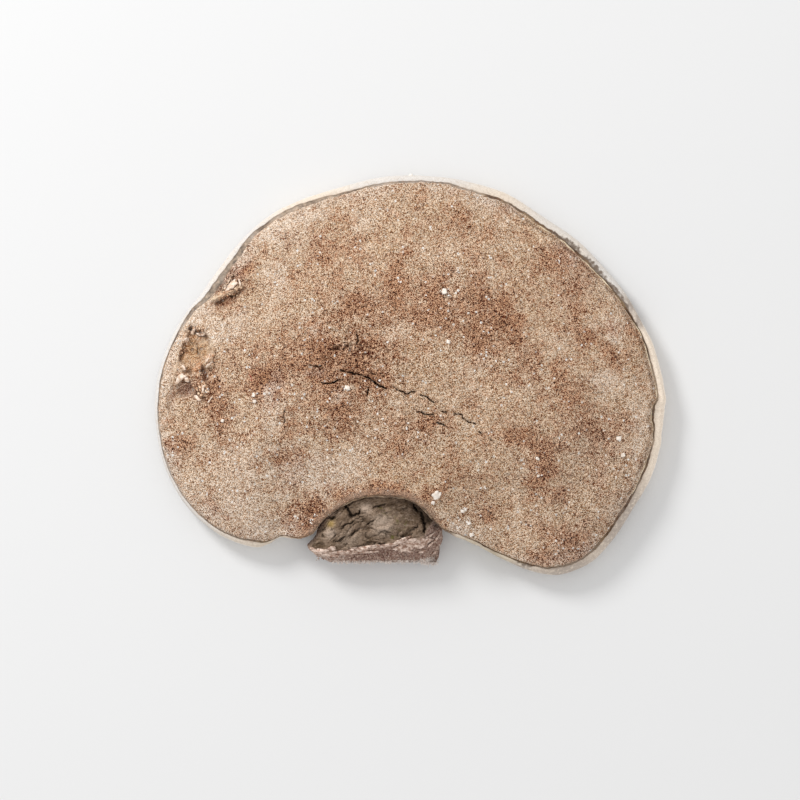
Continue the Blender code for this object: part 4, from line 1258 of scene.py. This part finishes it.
def bodyMaterial():
    bench = NodeBench("paleMargin", bodyColours)
    mottle = bench.noise(600.0, 3.0, 0.6)
    fine = bench.noise(1900.0, 2.0, 0.6)
    broad = bench.noise(70.0, 3.0, 0.55)
    pits = bench.cells(2400.0).outputs["Distance"]

    # the margin
    # paler towards the rim's outer edge, partly the margin's own colour and partly a painted highlight
    colour = bench.blend(bench.band("across", 0.55, 1.0), "rim", "rimLight")
    colour = bench.blend(bench.times("white", 0.95), colour, "white")
    colour = bench.blend(bench.band(mottle, 0.46, 0.74, 0.0, 0.40), colour, "freckle")
    colour = bench.scaled(colour, bench.band(fine, 0.3, 0.7, 0.86, 1.12, "LINEAR"))
    colour = bench.scaled(colour, bench.band("sunny", 0.0, 1.0, 1.0, 1.22))
    wholeRim = bench.times("wholeRim", bench.band(mottle, 0.30, 0.52, 0.1, 0.9))
    colour = bench.blend(wholeRim, colour, "pinkGrey")
    # darker towards the rim's inner edge where the marks are
    innerRimDark = bench.plus("innerRimDark", bench.around(bench.noise(300.0, 2.0, 0.6), 1.2))
    innerRimDark = bench.band(bench.minus(innerRimDark, bench.times("across", 2.0)), 0.0, 0.34)
    colour = bench.blend(bench.times(innerRimDark, bench.band(mottle, 0.30, 0.55, 0.45, 1.0)), colour, "innerRimDark")
    olive = bench.plus("olive", bench.minus(broad, 0.5))
    colour = bench.blend(bench.band(olive, 0.2, 0.9, 0.0, 0.7), colour, "olive")

    # the pore face
    stain = bench.times(bench.band(broad, 0.50, 0.72), bench.band(mottle, 0.3, 0.6), 0.6)
    pores = bench.blend(stain, "pores", "poreStain")
    pores = bench.blend(bench.band(pits, 0.35, 0.10, 0.0, 0.35), pores, "poreStain")
    colour = bench.blend("under", colour, pores)

    # the wall of the notch, and the groove behind the margin, whose dark brown is partly its stain and partly
    # painted shade, darkest where it runs deep under the crust
    notchTone = bench.blend(bench.band(mottle, 0.38, 0.62), "notch", "notchLight")
    notchTone = bench.scaled(notchTone, bench.band("streak", -0.6, 0.6, 0.75, 1.25, "LINEAR"))
    colour = bench.blend(bench.times("notch", 0.9), colour, notchTone)
    grooveTone = bench.blend(bench.band(broad, 0.45, 0.62, 0.0, 0.75), "groove", "grooveTan")
    grooveTone = bench.blend("greyGroove", grooveTone, "grooveGrey")
    grooveTone = bench.blend(bench.times("deep", 0.6), grooveTone, "groove")
    grooveTone = bench.scaled(grooveTone, bench.band(mottle, 0.35, 0.65, 0.55, 1.40, "LINEAR"))
    grooveTone = bench.scaled(grooveTone, bench.band("streak", -0.6, 0.6, 0.62, 1.30, "LINEAR"))
    dark = bench.band(bench.plus("groove", bench.around(mottle, 1.2)), 0.25, 0.70)
    lineShare = bench.band(bench.noise(60.0, 3.0, 0.6), 0.40, 0.58, 0.50, 0.95)
    colour = bench.blend(bench.times(dark, lineShare), colour, grooveTone)

    relief = bench.bump(mottle, 0.35 * mm, 0.4)
    relief = bench.bump(fine, 0.18 * mm, 0.55, relief)
    relief = bench.bump(bench.band(pits, 0.10, 0.45), 0.12 * mm, 0.5, relief)
    return bench.finish(colour, 0.85, relief)


baseColours = {
    "old": (148, 126, 107),
    "dark": (104, 84, 65),
    "pale": (186, 165, 147),
    "shadedCrevice": (40, 31, 24),
    "torn": (165, 136, 122),
    "tornDark": (122, 91, 79),
    "tornLight": (214, 195, 182),
    "tornDeep": (96, 60, 48),
    "splinter": (214, 184, 164),
    "green": (112, 112, 40),
    "yellow": (186, 156, 94),
    "sawn": (150, 114, 90),
}


def baseMaterial():
    bench = NodeBench("weatheredBase", baseColours)
    wear = bench.noise(330.0, 4.0, 0.65, 0.6)
    fine = bench.noise(1300.0, 3.0, 0.65)
    drawnOut = bench.add("ShaderNodeMapping", {
        "Vector": bench.place, "Rotation": (0.0, 0.0, math.radians(-28.0)), "Scale": (0.35, 1.6, 1.0)})
    fibre = bench.noise(620.0, 3.0, 0.7, 0.4, drawnOut.outputs["Vector"])

    # the weathered top
    colour = bench.blend(bench.band(wear, 0.35, 0.65), "dark", "old")
    paleShare = bench.plus("pale", bench.minus(fine, 0.55))
    colour = bench.blend(bench.band(paleShare, 0.10, 0.85, 0.0, 0.9), colour, "pale")
    colour = bench.blend(bench.band(fibre, 0.52, 0.70, 0.0, 0.6), colour, "pale")
    green = bench.times("green", bench.band(bench.noise(420.0), 0.52, 0.64), 0.7)
    colour = bench.blend(green, colour, "green")
    colour = bench.blend(bench.times("yellow", 0.7), colour, "yellow")
    colour = bench.blend(bench.times("shadow", 0.45), colour, "dark")

    # the torn face, its splinters and the sawn back
    tornTone = bench.blend(bench.band(fine, 0.36, 0.58), "tornDark", "torn")
    tornFlecks = bench.band(bench.noise(900.0, 3.0, 0.7), 0.50, 0.66, 0.0, 0.85)
    tornTone = bench.blend(tornFlecks, tornTone, "tornLight")
    lightShare = bench.times("lightTorn", bench.band(wear, 0.35, 0.6, 0.4, 1.0), 0.75)
    tornTone = bench.blend(lightShare, tornTone, "tornLight")
    darkShare = bench.times("darkTorn", bench.band(fine, 0.40, 0.60, 1.0, 0.2), 0.85)
    tornTone = bench.blend(darkShare, tornTone, "tornDeep")
    colour = bench.blend("torn", colour, tornTone)
    # painted shadow under the crust's lip, in the crevices' dark colour
    colour = bench.blend(bench.times("lipShadow", 0.8), colour, "shadedCrevice")
    splinterShare = bench.times("splinter", bench.band(fibre, 0.30, 0.60, 0.45, 1.0))
    colour = bench.blend(splinterShare, colour, "splinter")
    colour = bench.blend("sawn", colour, bench.blend(bench.band(fibre, 0.4, 0.65), "sawn", "torn"))
    colour = bench.scaled(colour, bench.band(fine, 0.3, 0.7, 0.70, 1.25, "LINEAR"))
    # painted shade in the cracks and crevices
    shadedCrevice = bench.plus("shadedCrevice", bench.around(fine, 0.9))
    colour = bench.blend(bench.band(shadedCrevice, 0.40, 1.05, 0.0, 0.88), colour, "shadedCrevice")

    relief = bench.bump(wear, 1.2 * mm, 0.8)
    relief = bench.bump(fibre, 0.6 * mm, 0.8, relief)
    relief = bench.bump(fine, 0.40 * mm, 0.9, relief)
    return bench.finish(colour, 0.9, relief)


# Finishes of the small pieces: a light and a dark colour, noise per metre and height of the bump
finishes = {
    "creamFlake": ((246, 228, 212), (208, 178, 152), 700.0, 0.4 * mm),
    "paleBit": ((252, 243, 233), (230, 214, 198), 900.0, 0.2 * mm),
    "pinkSplinter": ((240, 218, 203), (160, 126, 108), 600.0, 0.5 * mm),
    "paleCrumb": ((246, 236, 224), (214, 192, 170), 1500.0, 0.1 * mm),
    "whiteGrain": ((252, 248, 242), (228, 216, 204), 900.0, 0.1 * mm),
    "brownCrumb": ((206, 174, 146), (140, 98, 72), 420.0, 0.1 * mm),
    "orangeCrumb": ((246, 220, 190), (182, 132, 98), 700.0, 0.2 * mm),
    "tornGrain": ((204, 180, 164), (136, 102, 86), 600.0, 0.1 * mm),
    "yellowLip": ((240, 224, 196), (200, 178, 148), 500.0, 0.1 * mm),
    "whiteCrumb": ((248, 244, 238), (226, 216, 204), 900.0, 0.2 * mm),
    "whiteFuzz": ((238, 228, 220), (204, 188, 178), 900.0, 0.05 * mm),
    "redThread": ((196, 72, 66), (150, 52, 48), 900.0, 0.05 * mm),
}


def plainMaterial(name):
    light, dark, perMetre, distance = finishes[name]
    bench = NodeBench(name, {"light": light, "dark": dark})
    fine = bench.noise(perMetre, 3.0, 0.6)
    colour = bench.blend(bench.band(fine, 0.35, 0.65), "dark", "light")
    return bench.finish(colour, 0.88, bench.bump(fine, distance, 0.7))


# Torn flakes, splinters, crumbs and fibres


def crustGround(places):
    return crustSurface(places)["height"]


def baseGround(places):
    # the base's top, rounded down towards its sides
    away = places - baseMiddle
    share = np.hypot(away[:, 0], away[:, 1]) / baseReach(np.arctan2(away[:, 1], away[:, 0]))
    steepness = (1.0 - np.minimum(share ** 1.25, 0.985) ** 2) ** 0.25
    return baseValues["midHeight"] + (baseSurface(places)[0] - baseValues["midHeight"]) * steepness


def makeShards(name, shards, ground, finish, seed, rounded, pointed=0.0):
    # thin torn plates, each a grid drawn out between its four corners
    made = []
    for number, (corners, lifts, thickness) in enumerate(shards):
        corners = fromPhoto(corners)
        lengthwise = np.linalg.norm(corners[1] - corners[0])
        sideways = np.linalg.norm(corners[3] - corners[0])
        shard = startPiece(f"{name}{number}", bpy.ops.mesh.primitive_grid_add,
                           x_subdivisions=int(np.clip(lengthwise / (0.45 * mm), 6, 40)),
                           y_subdivisions=int(np.clip(sideways / (0.35 * mm), 4, 16)), size=1.0)
        flat = getPoints(shard)[:, :2] * 2.0
        disc = flat * np.sqrt(1.0 - flat[:, ::-1] ** 2 / 2.0)
        flat = flat + rounded * (disc - flat)
        flat[:, 1] *= 1.0 - pointed * np.abs(flat[:, 0]) ** 2.2
        u, v = (flat / 2.0 + 0.5).T
        shares = ((1 - u) * (1 - v), u * (1 - v), u * v, (1 - u) * v)
        plan = sum(np.outer(share, corner) for share, corner in zip(shares, corners))
        border = np.maximum(np.abs(u - 0.5), np.abs(v - 0.5)) * 2.0
        ragged = smoothNoise(plan, 1.2 * mm, seed + number, 3) * ramp(border, 0.4, 1.0)
        plan += (plan - plan.mean(axis=0)) * (0.60 * ragged)[:, None]
        lift = sum(share * lift for share, lift in zip(shares, lifts)) * mm
        height = ground(plan) + lift + 0.25 * mm * smoothNoise(plan, 1.8 * mm, seed + 40 + number, 2)
        if number % 2:
            height += 0.3 * mm * np.sin(u * math.pi)
        setPoints(shard, np.column_stack([plan, height]))
        solid = shard.modifiers.new("thickness", "SOLIDIFY")
        solid.thickness = thickness * mm
        solid.offset = 0.0
        bpy.ops.object.modifier_apply(modifier="thickness")
        places = getPoints(shard)
        dents = 0.10 * mm * smoothNoise(places, 0.9 * mm, seed + 80 + number, 2)
        setPoints(shard, places + getPoints(shard, "normal") * dents[:, None])
        made.append(shard)
    selectOnly(*made)
    bpy.ops.object.join()
    whole = newPiece(name)
    faceOutwards(whole)
    dress(whole, plainMaterial(finish))


def giveCopies(piece, places, faces):
    # many copies of a piece's shape, as one mesh, take the place of the shape
    mesh = bpy.data.meshes.new(piece.name + "Copies")
    mesh.from_pydata(places.tolist(), [], faces)
    piece.data = mesh


def spreadCopies(name, middles, sizes, seed, divisions, finish):
    # one little lump, modelled once and copied with its own turn, size and shape
    lump = startPiece(name, bpy.ops.mesh.primitive_ico_sphere_add, subdivisions=divisions, radius=1.0)
    shape = getPoints(lump)
    draw = np.random.default_rng(seed)
    count = len(middles)
    turns = np.linalg.qr(draw.normal(size=(count, 3, 3)))[0]
    turns *= np.sign(np.linalg.det(turns))[:, None, None]
    stretch = draw.uniform(0.6, 1.3, size=(count, 1, 3)) * np.array([1.0, 1.0, 0.7])
    dents = 1.0 + 0.45 * (draw.random((count, len(shape), 1)) - 0.5)
    places = (shape[None] * dents * stretch) @ turns
    places = places * sizes[:, None, None] + middles[:, None, :]
    faces = getCorners(lump, 3)[None] + np.arange(count)[:, None, None] * len(shape)
    giveCopies(lump, places.reshape(-1, 3), faces.reshape(-1, 3).tolist())
    dress(lump, plainMaterial(finish))


def startTube(name, sides, cuts):
    # an upright cylinder, cut across into short lengths
    tube = startPiece(name, bpy.ops.mesh.primitive_cylinder_add, vertices=sides, radius=1.0, depth=1.0)
    height = getPoints(tube)[:, 2]
    upright = [abs(height[edge.vertices[0]] - height[edge.vertices[1]]) > 0.5 for edge in tube.data.edges]
    editWith(tube, edges=upright)
    bpy.ops.mesh.subdivide(number_cuts=cuts)
    bpy.ops.object.mode_set(mode="OBJECT")
    return tube


def makeFibres(name, roots, ways, lengths, thickness, seed, droop=0.3):
    # a thin bent thread, modelled once as a narrow cylinder and copied
    thread = startTube(name, 4, 3)
    shape = getPoints(thread)
    polygons = [list(polygon.vertices) for polygon in thread.data.polygons]
    draw = np.random.default_rng(seed)
    along = shape[:, 2] + 0.5
    places = []
    faces = []
    for number, (root, way, length) in enumerate(zip(roots, ways, lengths)):
        way = way / np.linalg.norm(way)
        aside = np.cross(way, draw.normal(size=3))
        aside /= np.linalg.norm(aside)
        third = np.cross(way, aside)
        bend = draw.uniform(-0.5, 0.5) * length
        path = root + np.outer(along * length, way) + np.outer(bend * along ** 2, aside)
        path[:, 2] -= droop * length * along ** 2
        width = thickness * (1.0 - 0.6 * along)
        places.append(path + aside * (shape[:, 0] * width)[:, None] + third * (shape[:, 1] * width)[:, None])
        faces.extend([[corner + number * len(shape) for corner in polygon] for polygon in polygons])
    giveCopies(thread, np.vstack(places), faces)
    faceOutwards(thread)
    dress(thread, plainMaterial(name))


# corners in the picture's pixels; how far each stands above the ground, and the thickness, in millimetres
flakeValues = [
    # the bright raised flake near the upper left edge
    ([(225.6, 291.2), (234.4, 279.2), (239.8, 283.2), (228.6, 292.6)], (0.7, 1.6, 2.6, 1), 0.6),
    ([(239.2, 280.2), (240.2, 279.6), (242, 285.6), (240.8, 286.8)], (0.4, 0.6, 0.9, 0.6), 0.35),
    # the pale three-cornered flake below the big hollow, and thin blades beside it
    ([(175.6, 386.3), (180.2, 373.6), (186.8, 376.6), (180.4, 382.6)], (0.3, 1.6, 1.3, 0.5), 0.45),
    ([(185.6, 378), (189.6, 377.8), (190.4, 382.2), (187.4, 381.8)], (0.8, 0.6, 0.5, 0.8), 0.4),
    ([(203.6, 385.2), (206.2, 385), (204.6, 392), (203.2, 394.6)], (0.8, 1.4, 1, 0.6), 0.35),
    ([(194.2, 396), (198.2, 395.2), (203, 401), (199.6, 400.6)], (0.6, 1, 0.6, 0.3), 0.45),
    ([(208.8, 401.8), (213.8, 395.6), (214.6, 396.4), (210, 402.8)], (0.4, 0.9, 0.5, 0.3), 0.35),
    ([(206.4, 366.6), (213.4, 361.6), (214.6, 362.6), (207.6, 368)], (0.7, 1.2, 0.6, 0.4), 0.4),
    ([(207, 361.4), (210.6, 354.6), (212.4, 355.6), (209, 362)], (0.7, 1, 0.8, 0.5), 0.5),
    ([(182, 364.6), (184.6, 363.4), (187, 370), (184.6, 370.6)], (0.5, 0.7, 0.9, 0.5), 0.4),
    ([(190, 331), (196.5, 329), (197, 332.5), (192, 334.5)], (0.5, 0.8, 1.2, 0.7), 0.5),
    ([(197, 333.5), (204, 332), (206, 335), (199, 336.5)], (1.2, 1.6, 2.4, 2), 0.5),
    ([(185, 339.5), (189, 337.5), (190, 341), (186.5, 343)], (0.9, 1.4, 1.4, 0.8), 0.5),
]
bitValues = [
    # pale bits lying on the crust
    ([(431, 493), (437.5, 488.5), (441.5, 493), (435, 498.5)], (0.5, 0.6, 0.9, 0.5), 0.8),
    ([(431.5, 500), (434.5, 500.5), (434, 503.5), (431, 502.5)], (0.4, 0.5, 0.4, 0.4), 0.5),
    ([(441.5, 290), (446.8, 290.5), (445.8, 295), (442, 294.5)], (0.5, 0.5, 0.8, 0.5), 0.5),
    ([(446.5, 341), (449.5, 341.5), (449, 344.5), (446.5, 344)], (0.4, 0.5, 0.5, 0.4), 0.5),
    ([(345.5, 385.5), (350, 386), (351, 390.5), (346, 389.5)], (0.5, 0.6, 0.5, 0.5), 0.6),
    ([(615, 436.5), (619.5, 436), (619.5, 440), (615.5, 440)], (0.5, 0.5, 0.6, 0.4), 0.6),
    ([(619.5, 453.5), (623.5, 453), (624, 456.5), (620.5, 457)], (0.5, 0.4, 0.5, 0.5), 0.6),
    ([(468.8, 532), (472.8, 531.5), (473, 535.5), (469.5, 535.5)], (0.5, 0.5, 0.6, 0.4), 0.6),
    ([(253, 393.5), (257, 394), (256.5, 397.5), (253.5, 397)], (0.5, 0.5, 0.5, 0.4), 0.6),
    ([(254.2, 399.5), (257.4, 400), (257, 402.8), (254.5, 402.5)], (0.5, 0.4, 0.5, 0.4), 0.5),
    ([(222, 419), (225.5, 419.5), (225, 422.5), (222.2, 422)], (0.4, 0.5, 0.5, 0.4), 0.5),
    ([(534.5, 456.5), (537.8, 456.8), (537.5, 459.5), (534.6, 459.2)], (0.4, 0.5, 0.5, 0.4), 0.5),
    ([(535.8, 473.6), (538.6, 474), (538.2, 476.6), (535.8, 476.2)], (0.4, 0.4, 0.5, 0.4), 0.5),
    ([(460.5, 508.8), (463.5, 509.2), (463.2, 511.6), (460.6, 511.4)], (0.4, 0.4, 0.5, 0.4), 0.5),
]
splinterValues = [
    # pale splinters along the line where the old base is torn
    ([(313, 548), (331, 548.5), (331, 551.5), (314, 551.5)], (0.2, 0.4, 0.2, 0), 0.6),
    ([(328, 550.5), (352, 549.5), (352, 552), (330, 553.5)], (0.2, 0.6, 0.2, 0), 0.6),
    ([(347, 548.5), (372, 546.5), (372.5, 549), (348, 551)], (0.5, 0.9, 0.4, 0.1), 0.55),
    ([(356, 546), (384, 543.2), (384.5, 545), (357, 548)], (0.4, 1.1, 0.7, 0.2), 0.45),
    ([(370, 545.5), (398, 541.5), (399, 544), (371, 548)], (0.5, 1.2, 0.6, 0.2), 0.5),
    ([(390, 542.5), (409.5, 534.5), (411, 536.5), (395, 546)], (0.6, 1.8, 1.2, 0.4), 0.6),
    ([(393, 545), (413, 539), (415, 544.5), (397, 549)], (0.5, 1.5, 0.8, 0.2), 0.6),
    ([(391, 547.5), (403, 543), (408, 546.5), (396, 551)], (0.5, 1, 0.7, 0.2), 0.7),
    ([(400, 549), (412, 543.5), (417, 547), (404, 552.5)], (0.5, 1.2, 0.8, 0.2), 0.6),
    ([(405, 539.5), (417, 536.5), (418, 540.5), (407, 543)], (1, 1.4, 1, 0.6), 0.5),
    ([(414, 546), (424, 541), (428, 544), (417, 549.5)], (0.5, 1.1, 0.6, 0.2), 0.6),
    ([(419, 541), (431, 537), (433, 540.5), (421, 544.5)], (0.7, 1.2, 0.8, 0.3), 0.5),
    ([(424, 537.6), (433, 532), (434, 533.6), (425.4, 539.6)], (0.6, 0.9, 0.6, 0.3), 0.4),
    ([(309, 546), (322, 551), (324, 555), (311, 549.5)], (0.2, 0.5, 0.2, 0), 0.6),
    ([(320, 551.5), (341, 554), (341, 557), (321, 555)], (0.2, 0.5, 0.1, 0), 0.5),
    ([(407, 543), (423, 539.5), (424, 544.5), (409, 549)], (0.6, 1.3, 0.7, 0.2), 0.6),
    ([(413, 541), (428, 536.5), (430, 540), (416, 545)], (0.8, 1.6, 1, 0.4), 0.5),
    ([(327, 546.5), (336, 545.5), (337, 549), (329, 550)], (0.4, 0.8, 0.5, 0.3), 0.6),
    ([(335, 551.5), (360, 551), (361, 553), (337, 554.5)], (0.1, 0.3, 0.1, 0), 0.5),
    ([(352, 551.5), (378, 549.5), (379, 551.5), (354, 553.5)], (0.1, 0.4, 0.1, 0), 0.5),
    ([(404, 546.5), (411, 549.5), (414, 553), (406, 551)], (0.4, 0.8, 0.2, 0), 0.5),
    ([(427, 546.4), (433, 540.4), (434.4, 541.6), (428.6, 548)], (0.4, 0.9, 0.3, 0.3), 0.4),
    ([(431, 553.6), (438, 549.6), (438.6, 551.2), (432, 555.4)], (0.3, 0.8, 0.2, 0.2), 0.4),
    ([(433, 541.6), (438.6, 533.4), (440, 535), (434.6, 543.2)], (0.3, 0.8, 0.4, 0.2), 0.4),
    ([(417, 552), (426, 548.6), (427, 550.2), (418.6, 554)], (0.3, 0.7, 0.3, 0.1), 0.4),
    ([(310, 545.5), (318, 549.5), (321, 554), (311.5, 549)], (0.1, 0.3, 0, 0), 0.5),
]

crumbValues = {
    "pale": 1500,
    "brown": 2600,
    "baseGrains": 900,
    "baseBox": [(-46.0, -90.6), (13.0, -78.0)],
    "fuzz": 560,
    "tuft": 260,
}
# size in millimetres, how uneven the sizes are, lift as a share of the size, seed, divisions and finish
looseValues = {
    "paleCrumbs": (0.13, 0.35, 0.50, 11, 1, "paleCrumb"),
    "whiteGrains": (0.34, 0.40, 0.40, 16, 1, "whiteGrain"),
    "brownCrumbs": (0.24, 0.30, 0.25, 12, 1, "brownCrumb"),
    "crumbledFlesh": (0.46, 0.40, 0.30, 13, 2, "orangeCrumb"),
    "tornGrains": (0.30, 0.35, 0.00, 14, 1, "tornGrain"),
    "rimCrumbs": (0.60, 0.20, 0.00, 15, 2, "whiteCrumb"),
}
# little heaps of white grains: x, y and reach in the picture's pixels, and how many
whiteHeaps = [(444, 292.5, 3, 34), (448.5, 297.5, 1.6, 8), (457.3, 273, 1.5, 8), (467.5, 314, 1.3, 7),
              (489.6, 258, 1.5, 8), (452, 207.5, 0.8, 4), (348, 388, 3.6, 22), (380, 380.5, 1, 4),
              (408, 441, 1.3, 6), (406, 427.5, 1.2, 5), (474, 371, 1.3, 5), (447.5, 343, 1.5, 8),
              (465, 508, 2, 9), (468, 521.4, 2.4, 12), (457.3, 526.6, 1.4, 5), (471.5, 534.3, 1.8, 11),
              (463.8, 489.5, 1, 3), (484.5, 487, 1.8, 7), (482.8, 500.3, 0.9, 3), (536.2, 513.6, 1.3, 5),
              (549, 518, 1.5, 4), (554.7, 539.5, 1.4, 7), (459.5, 519, 1.4, 5), (617.3, 438, 1.8, 10),
              (621.8, 454.5, 1.6, 7), (255, 395.5, 1.6, 8), (255.8, 401, 1.2, 5), (223.8, 420.5, 1.3, 6),
              (536, 458, 1.3, 5), (432.8, 501.8, 1.2, 6), (208, 392, 3, 12), (311, 520, 2.5, 10),
              (316, 514, 1.8, 7), (557, 262, 3, 6), (618, 352, 1.5, 4), (623, 385, 1.2, 4)]

# heaps of crumbled flesh round the worn places: x and y in pixels, reach in millimetres, and how many
fleshHeaps = [(211, 359.5, 2.4, 80), (204, 389, 4.2, 70), (196, 331, 3.4, 22), (186, 350, 2.6, 14),
              (232, 290, 4.5, 24), (220, 296.5, 2.6, 16), (228, 293, 2.2, 16), (237, 288, 2.0, 14)]
# a few crumbs that stick out over the white rim, and the thin red thread left of the middle
rimCrumbs = [(200.5, 297.5), (199, 299.5), (191.5, 312.5), (193, 310.5), (411, 175.5), (405, 176.5)]
redThread = [(251, 375), (252, 377), (253.2, 379), (253.4, 382)]


def scatter(draw, count, low, high, keep):
    # places in a box, kept by a rule, until there are enough
    found = np.empty((0, 2))
    while len(found) < count:
        places = draw.uniform(low, high, size=(count * 2, 2))
        found = np.vstack([found, places[keep(places)]])
    return found[:count]


def heaped(draw, heaps, unit):
    # places crowded round the middles of heaps
    return np.vstack([fromPhoto([(x, y)]) + draw.normal(0.0, 0.5 * reach * unit, size=(count, 2))
                      for x, y, reach, count in heaps])


def strew(name, draw, places, ground, limits=(-9.0, 9.0)):
    # copies of a little lump at places in plan, as uneven in size as looseValues says
    size, unevenness, lift, seed, divisions, finish = looseValues[name]
    sizes = size * mm * np.exp(np.clip(draw.normal(0.0, unevenness, len(places)), *limits))
    middles = np.column_stack([places, ground(places) + lift * sizes])
    spreadCopies(name, middles, sizes, seed, divisions, finish)


def makeLip():
    # a long thin cylinder laid along the crust's border, from the top of the picture down its right side
    start, end = (np.argmin(np.linalg.norm(crustBorder - place, axis=1))
                  for place in fromPhoto([(530.0, 222.0), (640.0, 500.0)]))
    steps = (start - end) % len(crustBorder)
    line = crustBorder[(end + np.arange(steps)) % len(crustBorder)]
    line = evenlyAlong(line, int(steps * 1.2), closed=False)
    lip = startTube("paleLip", 6, len(line) - 2)
    shape = getPoints(lip)
    step = np.rint((shape[:, 2] + 0.5) * (len(line) - 1)).astype(int)
    run = np.gradient(line, axis=0)
    run /= np.linalg.norm(run, axis=1)[:, None]
    aside = np.column_stack([-run[:, 1], run[:, 0]])
    width = 0.32 * mm * np.clip(0.65 + 1.6 * smoothNoise(line, 6.0 * mm, 97, 3), 0.05, 1.3)
    middle = line + aside * (0.10 * mm * smoothNoise(line, 2.0 * mm, 98, 2))[:, None]
    height = crustGround(middle) - 0.15 * mm
    places = np.zeros_like(shape)
    places[:, :2] = middle[step] + aside[step] * (shape[:, 0] * width[step])[:, None]
    places[:, 2] = height[step] + shape[:, 1] * np.minimum(width[step] * 1.6, 0.5 * mm)
    setPoints(lip, places)
    faceOutwards(lip)
    dress(lip, plainMaterial("yellowLip"))


def makeLooseBits():
    draw = np.random.default_rng(7)

    def onCrust(count, seed):
        # places strewn over the crust in loose patches
        def keep(places):
            onIt = insideOf(places, crustBorder) & (nearestOn(places, crustBorder)[0] > 0.8 * mm)
            share = ramp(smoothNoise(places, 14.0 * mm, seed, 3), -0.25, 0.5)
            return onIt & (draw.random(len(places)) < share)

        return scatter(draw, count, crustBorder.min(axis=0), crustBorder.max(axis=0), keep)

    def onTorn(places):
        return (baseSurface(places)[2] > 0.6) & (places[:, 1] > baseValues["cutY"] + 0.5 * mm)

    strew("paleCrumbs", draw, onCrust(crumbValues["pale"], 201), crustGround)
    strew("whiteGrains", draw, heaped(draw, whiteHeaps, photoStep), crustGround)
    strew("brownCrumbs", draw, onCrust(crumbValues["brown"], 207), crustGround)
    strew("crumbledFlesh", draw, heaped(draw, fleshHeaps, mm), crustGround, (-0.9, 0.35))
    low, high = np.array(crumbValues["baseBox"]) * mm
    grit = scatter(draw, crumbValues["baseGrains"], low, high, onTorn)
    strew("tornGrains", draw, grit, baseGround)
    makeLip()
    strew("rimCrumbs", draw, fromPhoto(rimCrumbs), lambda places: np.full(len(places), 9.5 * mm))


def makeThreads():
    draw = np.random.default_rng(21)
    # white fuzz on the lower edge of the torn face, and a tuft at its right end
    count = crumbValues["fuzz"]
    x = draw.uniform(-38.0, 11.5, count) * mm
    tuft = np.arange(count) < crumbValues["tuft"]
    x[tuft] = np.minimum(draw.normal(9.6, 2.0, tuft.sum()), 11.8) * mm
    y = np.full(count, baseValues["cutY"] + 0.25 * mm) + draw.uniform(0.0, 0.8, count) * mm
    y[tuft] += draw.uniform(0.0, 1.6, tuft.sum()) * mm
    roots = np.column_stack([x, y, baseGround(np.column_stack([x, y])) - 0.15 * mm])
    ways = np.column_stack([draw.normal(0.0, 0.7, count), -np.ones(count), draw.normal(0.15, 0.35, count)])
    lengths = draw.uniform(0.8, 1.9, count) * mm
    lengths[tuft] *= 1.7
    makeFibres("whiteFuzz", roots, ways, lengths, 0.24 * mm, 31)

    line = fromPhoto(redThread)
    line = np.column_stack([line, crustGround(line) + 0.35 * mm])
    ways = np.diff(line, axis=0)
    makeFibres("redThread", line[:-1], ways, np.linalg.norm(ways, axis=1) * 1.1, 0.15 * mm, 33, 0.0)


# The pieces
makeCrust()
makeBody()
makeBase()
makeShards("tornFlakes", flakeValues, crustGround, "creamFlake", 301, 0.3)
makeShards("paleBits", bitValues, crustGround, "paleBit", 331, 0.35)
makeShards("splinters", splinterValues, baseGround, "pinkSplinter", 361, 0.4, 0.75)
makeLooseBits()
makeThreads()

# Floor, light and camera
stageValues = {
    "floorColour": rgb(226, 226, 226),
    "floorSize": 12.0,
    "floorDrop": 0.2 * mm,
    "key": (-1.05, 1.15, 1.10),
    "keySize": 0.55,
    "keyPower": 21.0,
    "worldStrength": 0.82,
    "cameraHeight": 2.2,
    "sharpHeight": 7.0 * mm,
    "sensor": 36.0,
    "frameWidth": 800 * photoStep,
}


def makeStage():
    floor = startPiece("floor", bpy.ops.mesh.primitive_grid_add, x_subdivisions=8, y_subdivisions=8,
                       size=stageValues["floorSize"], location=(0.0, 0.0, -stageValues["floorDrop"]))
    bpy.ops.object.transform_apply(location=True)
    floor.data.materials.append(NodeBench("paperWhite").finish(stageValues["floorColour"], 0.95))

    world = bpy.data.worlds.new("studio")
    world.use_nodes = True
    background = world.node_tree.nodes["Background"].inputs
    background["Color"].default_value = (1.0, 1.0, 1.0, 1.0)
    background["Strength"].default_value = stageValues["worldStrength"]
    bpy.context.scene.world = world

    lamp = bpy.data.lights.new("keyLight", "AREA")
    lamp.shape = "DISK"
    lamp.size = stageValues["keySize"]
    lamp.energy = stageValues["keyPower"]
    key = bpy.data.objects.new("keyLight", lamp)
    key.location = stageValues["key"]
    key.rotation_euler = (-Vector(stageValues["key"])).to_track_quat("-Z", "Y").to_euler()
    bpy.context.scene.collection.objects.link(key)

    lens = bpy.data.cameras.new("camera")
    camera = bpy.data.objects.new("camera", lens)
    middle = fromPhoto([(400.0, 400.0)])[0]
    camera.location = (middle[0], middle[1], stageValues["cameraHeight"])
    lens.sensor_width = stageValues["sensor"]
    away = stageValues["cameraHeight"] - stageValues["sharpHeight"]
    lens.lens = stageValues["sensor"] * away / stageValues["frameWidth"]
    lens.clip_start = 0.05
    lens.clip_end = 30.0
    lens.dof.use_dof = False
    bpy.context.scene.collection.objects.link(camera)
    bpy.context.scene.camera = camera
    bpy.context.scene.view_settings.view_transform = "Standard"
    # the crust's fine grains stay sharp
    bpy.context.scene.cycles.denoising_prefilter = "NONE"
    print("made the floor, light and camera")


makeStage()
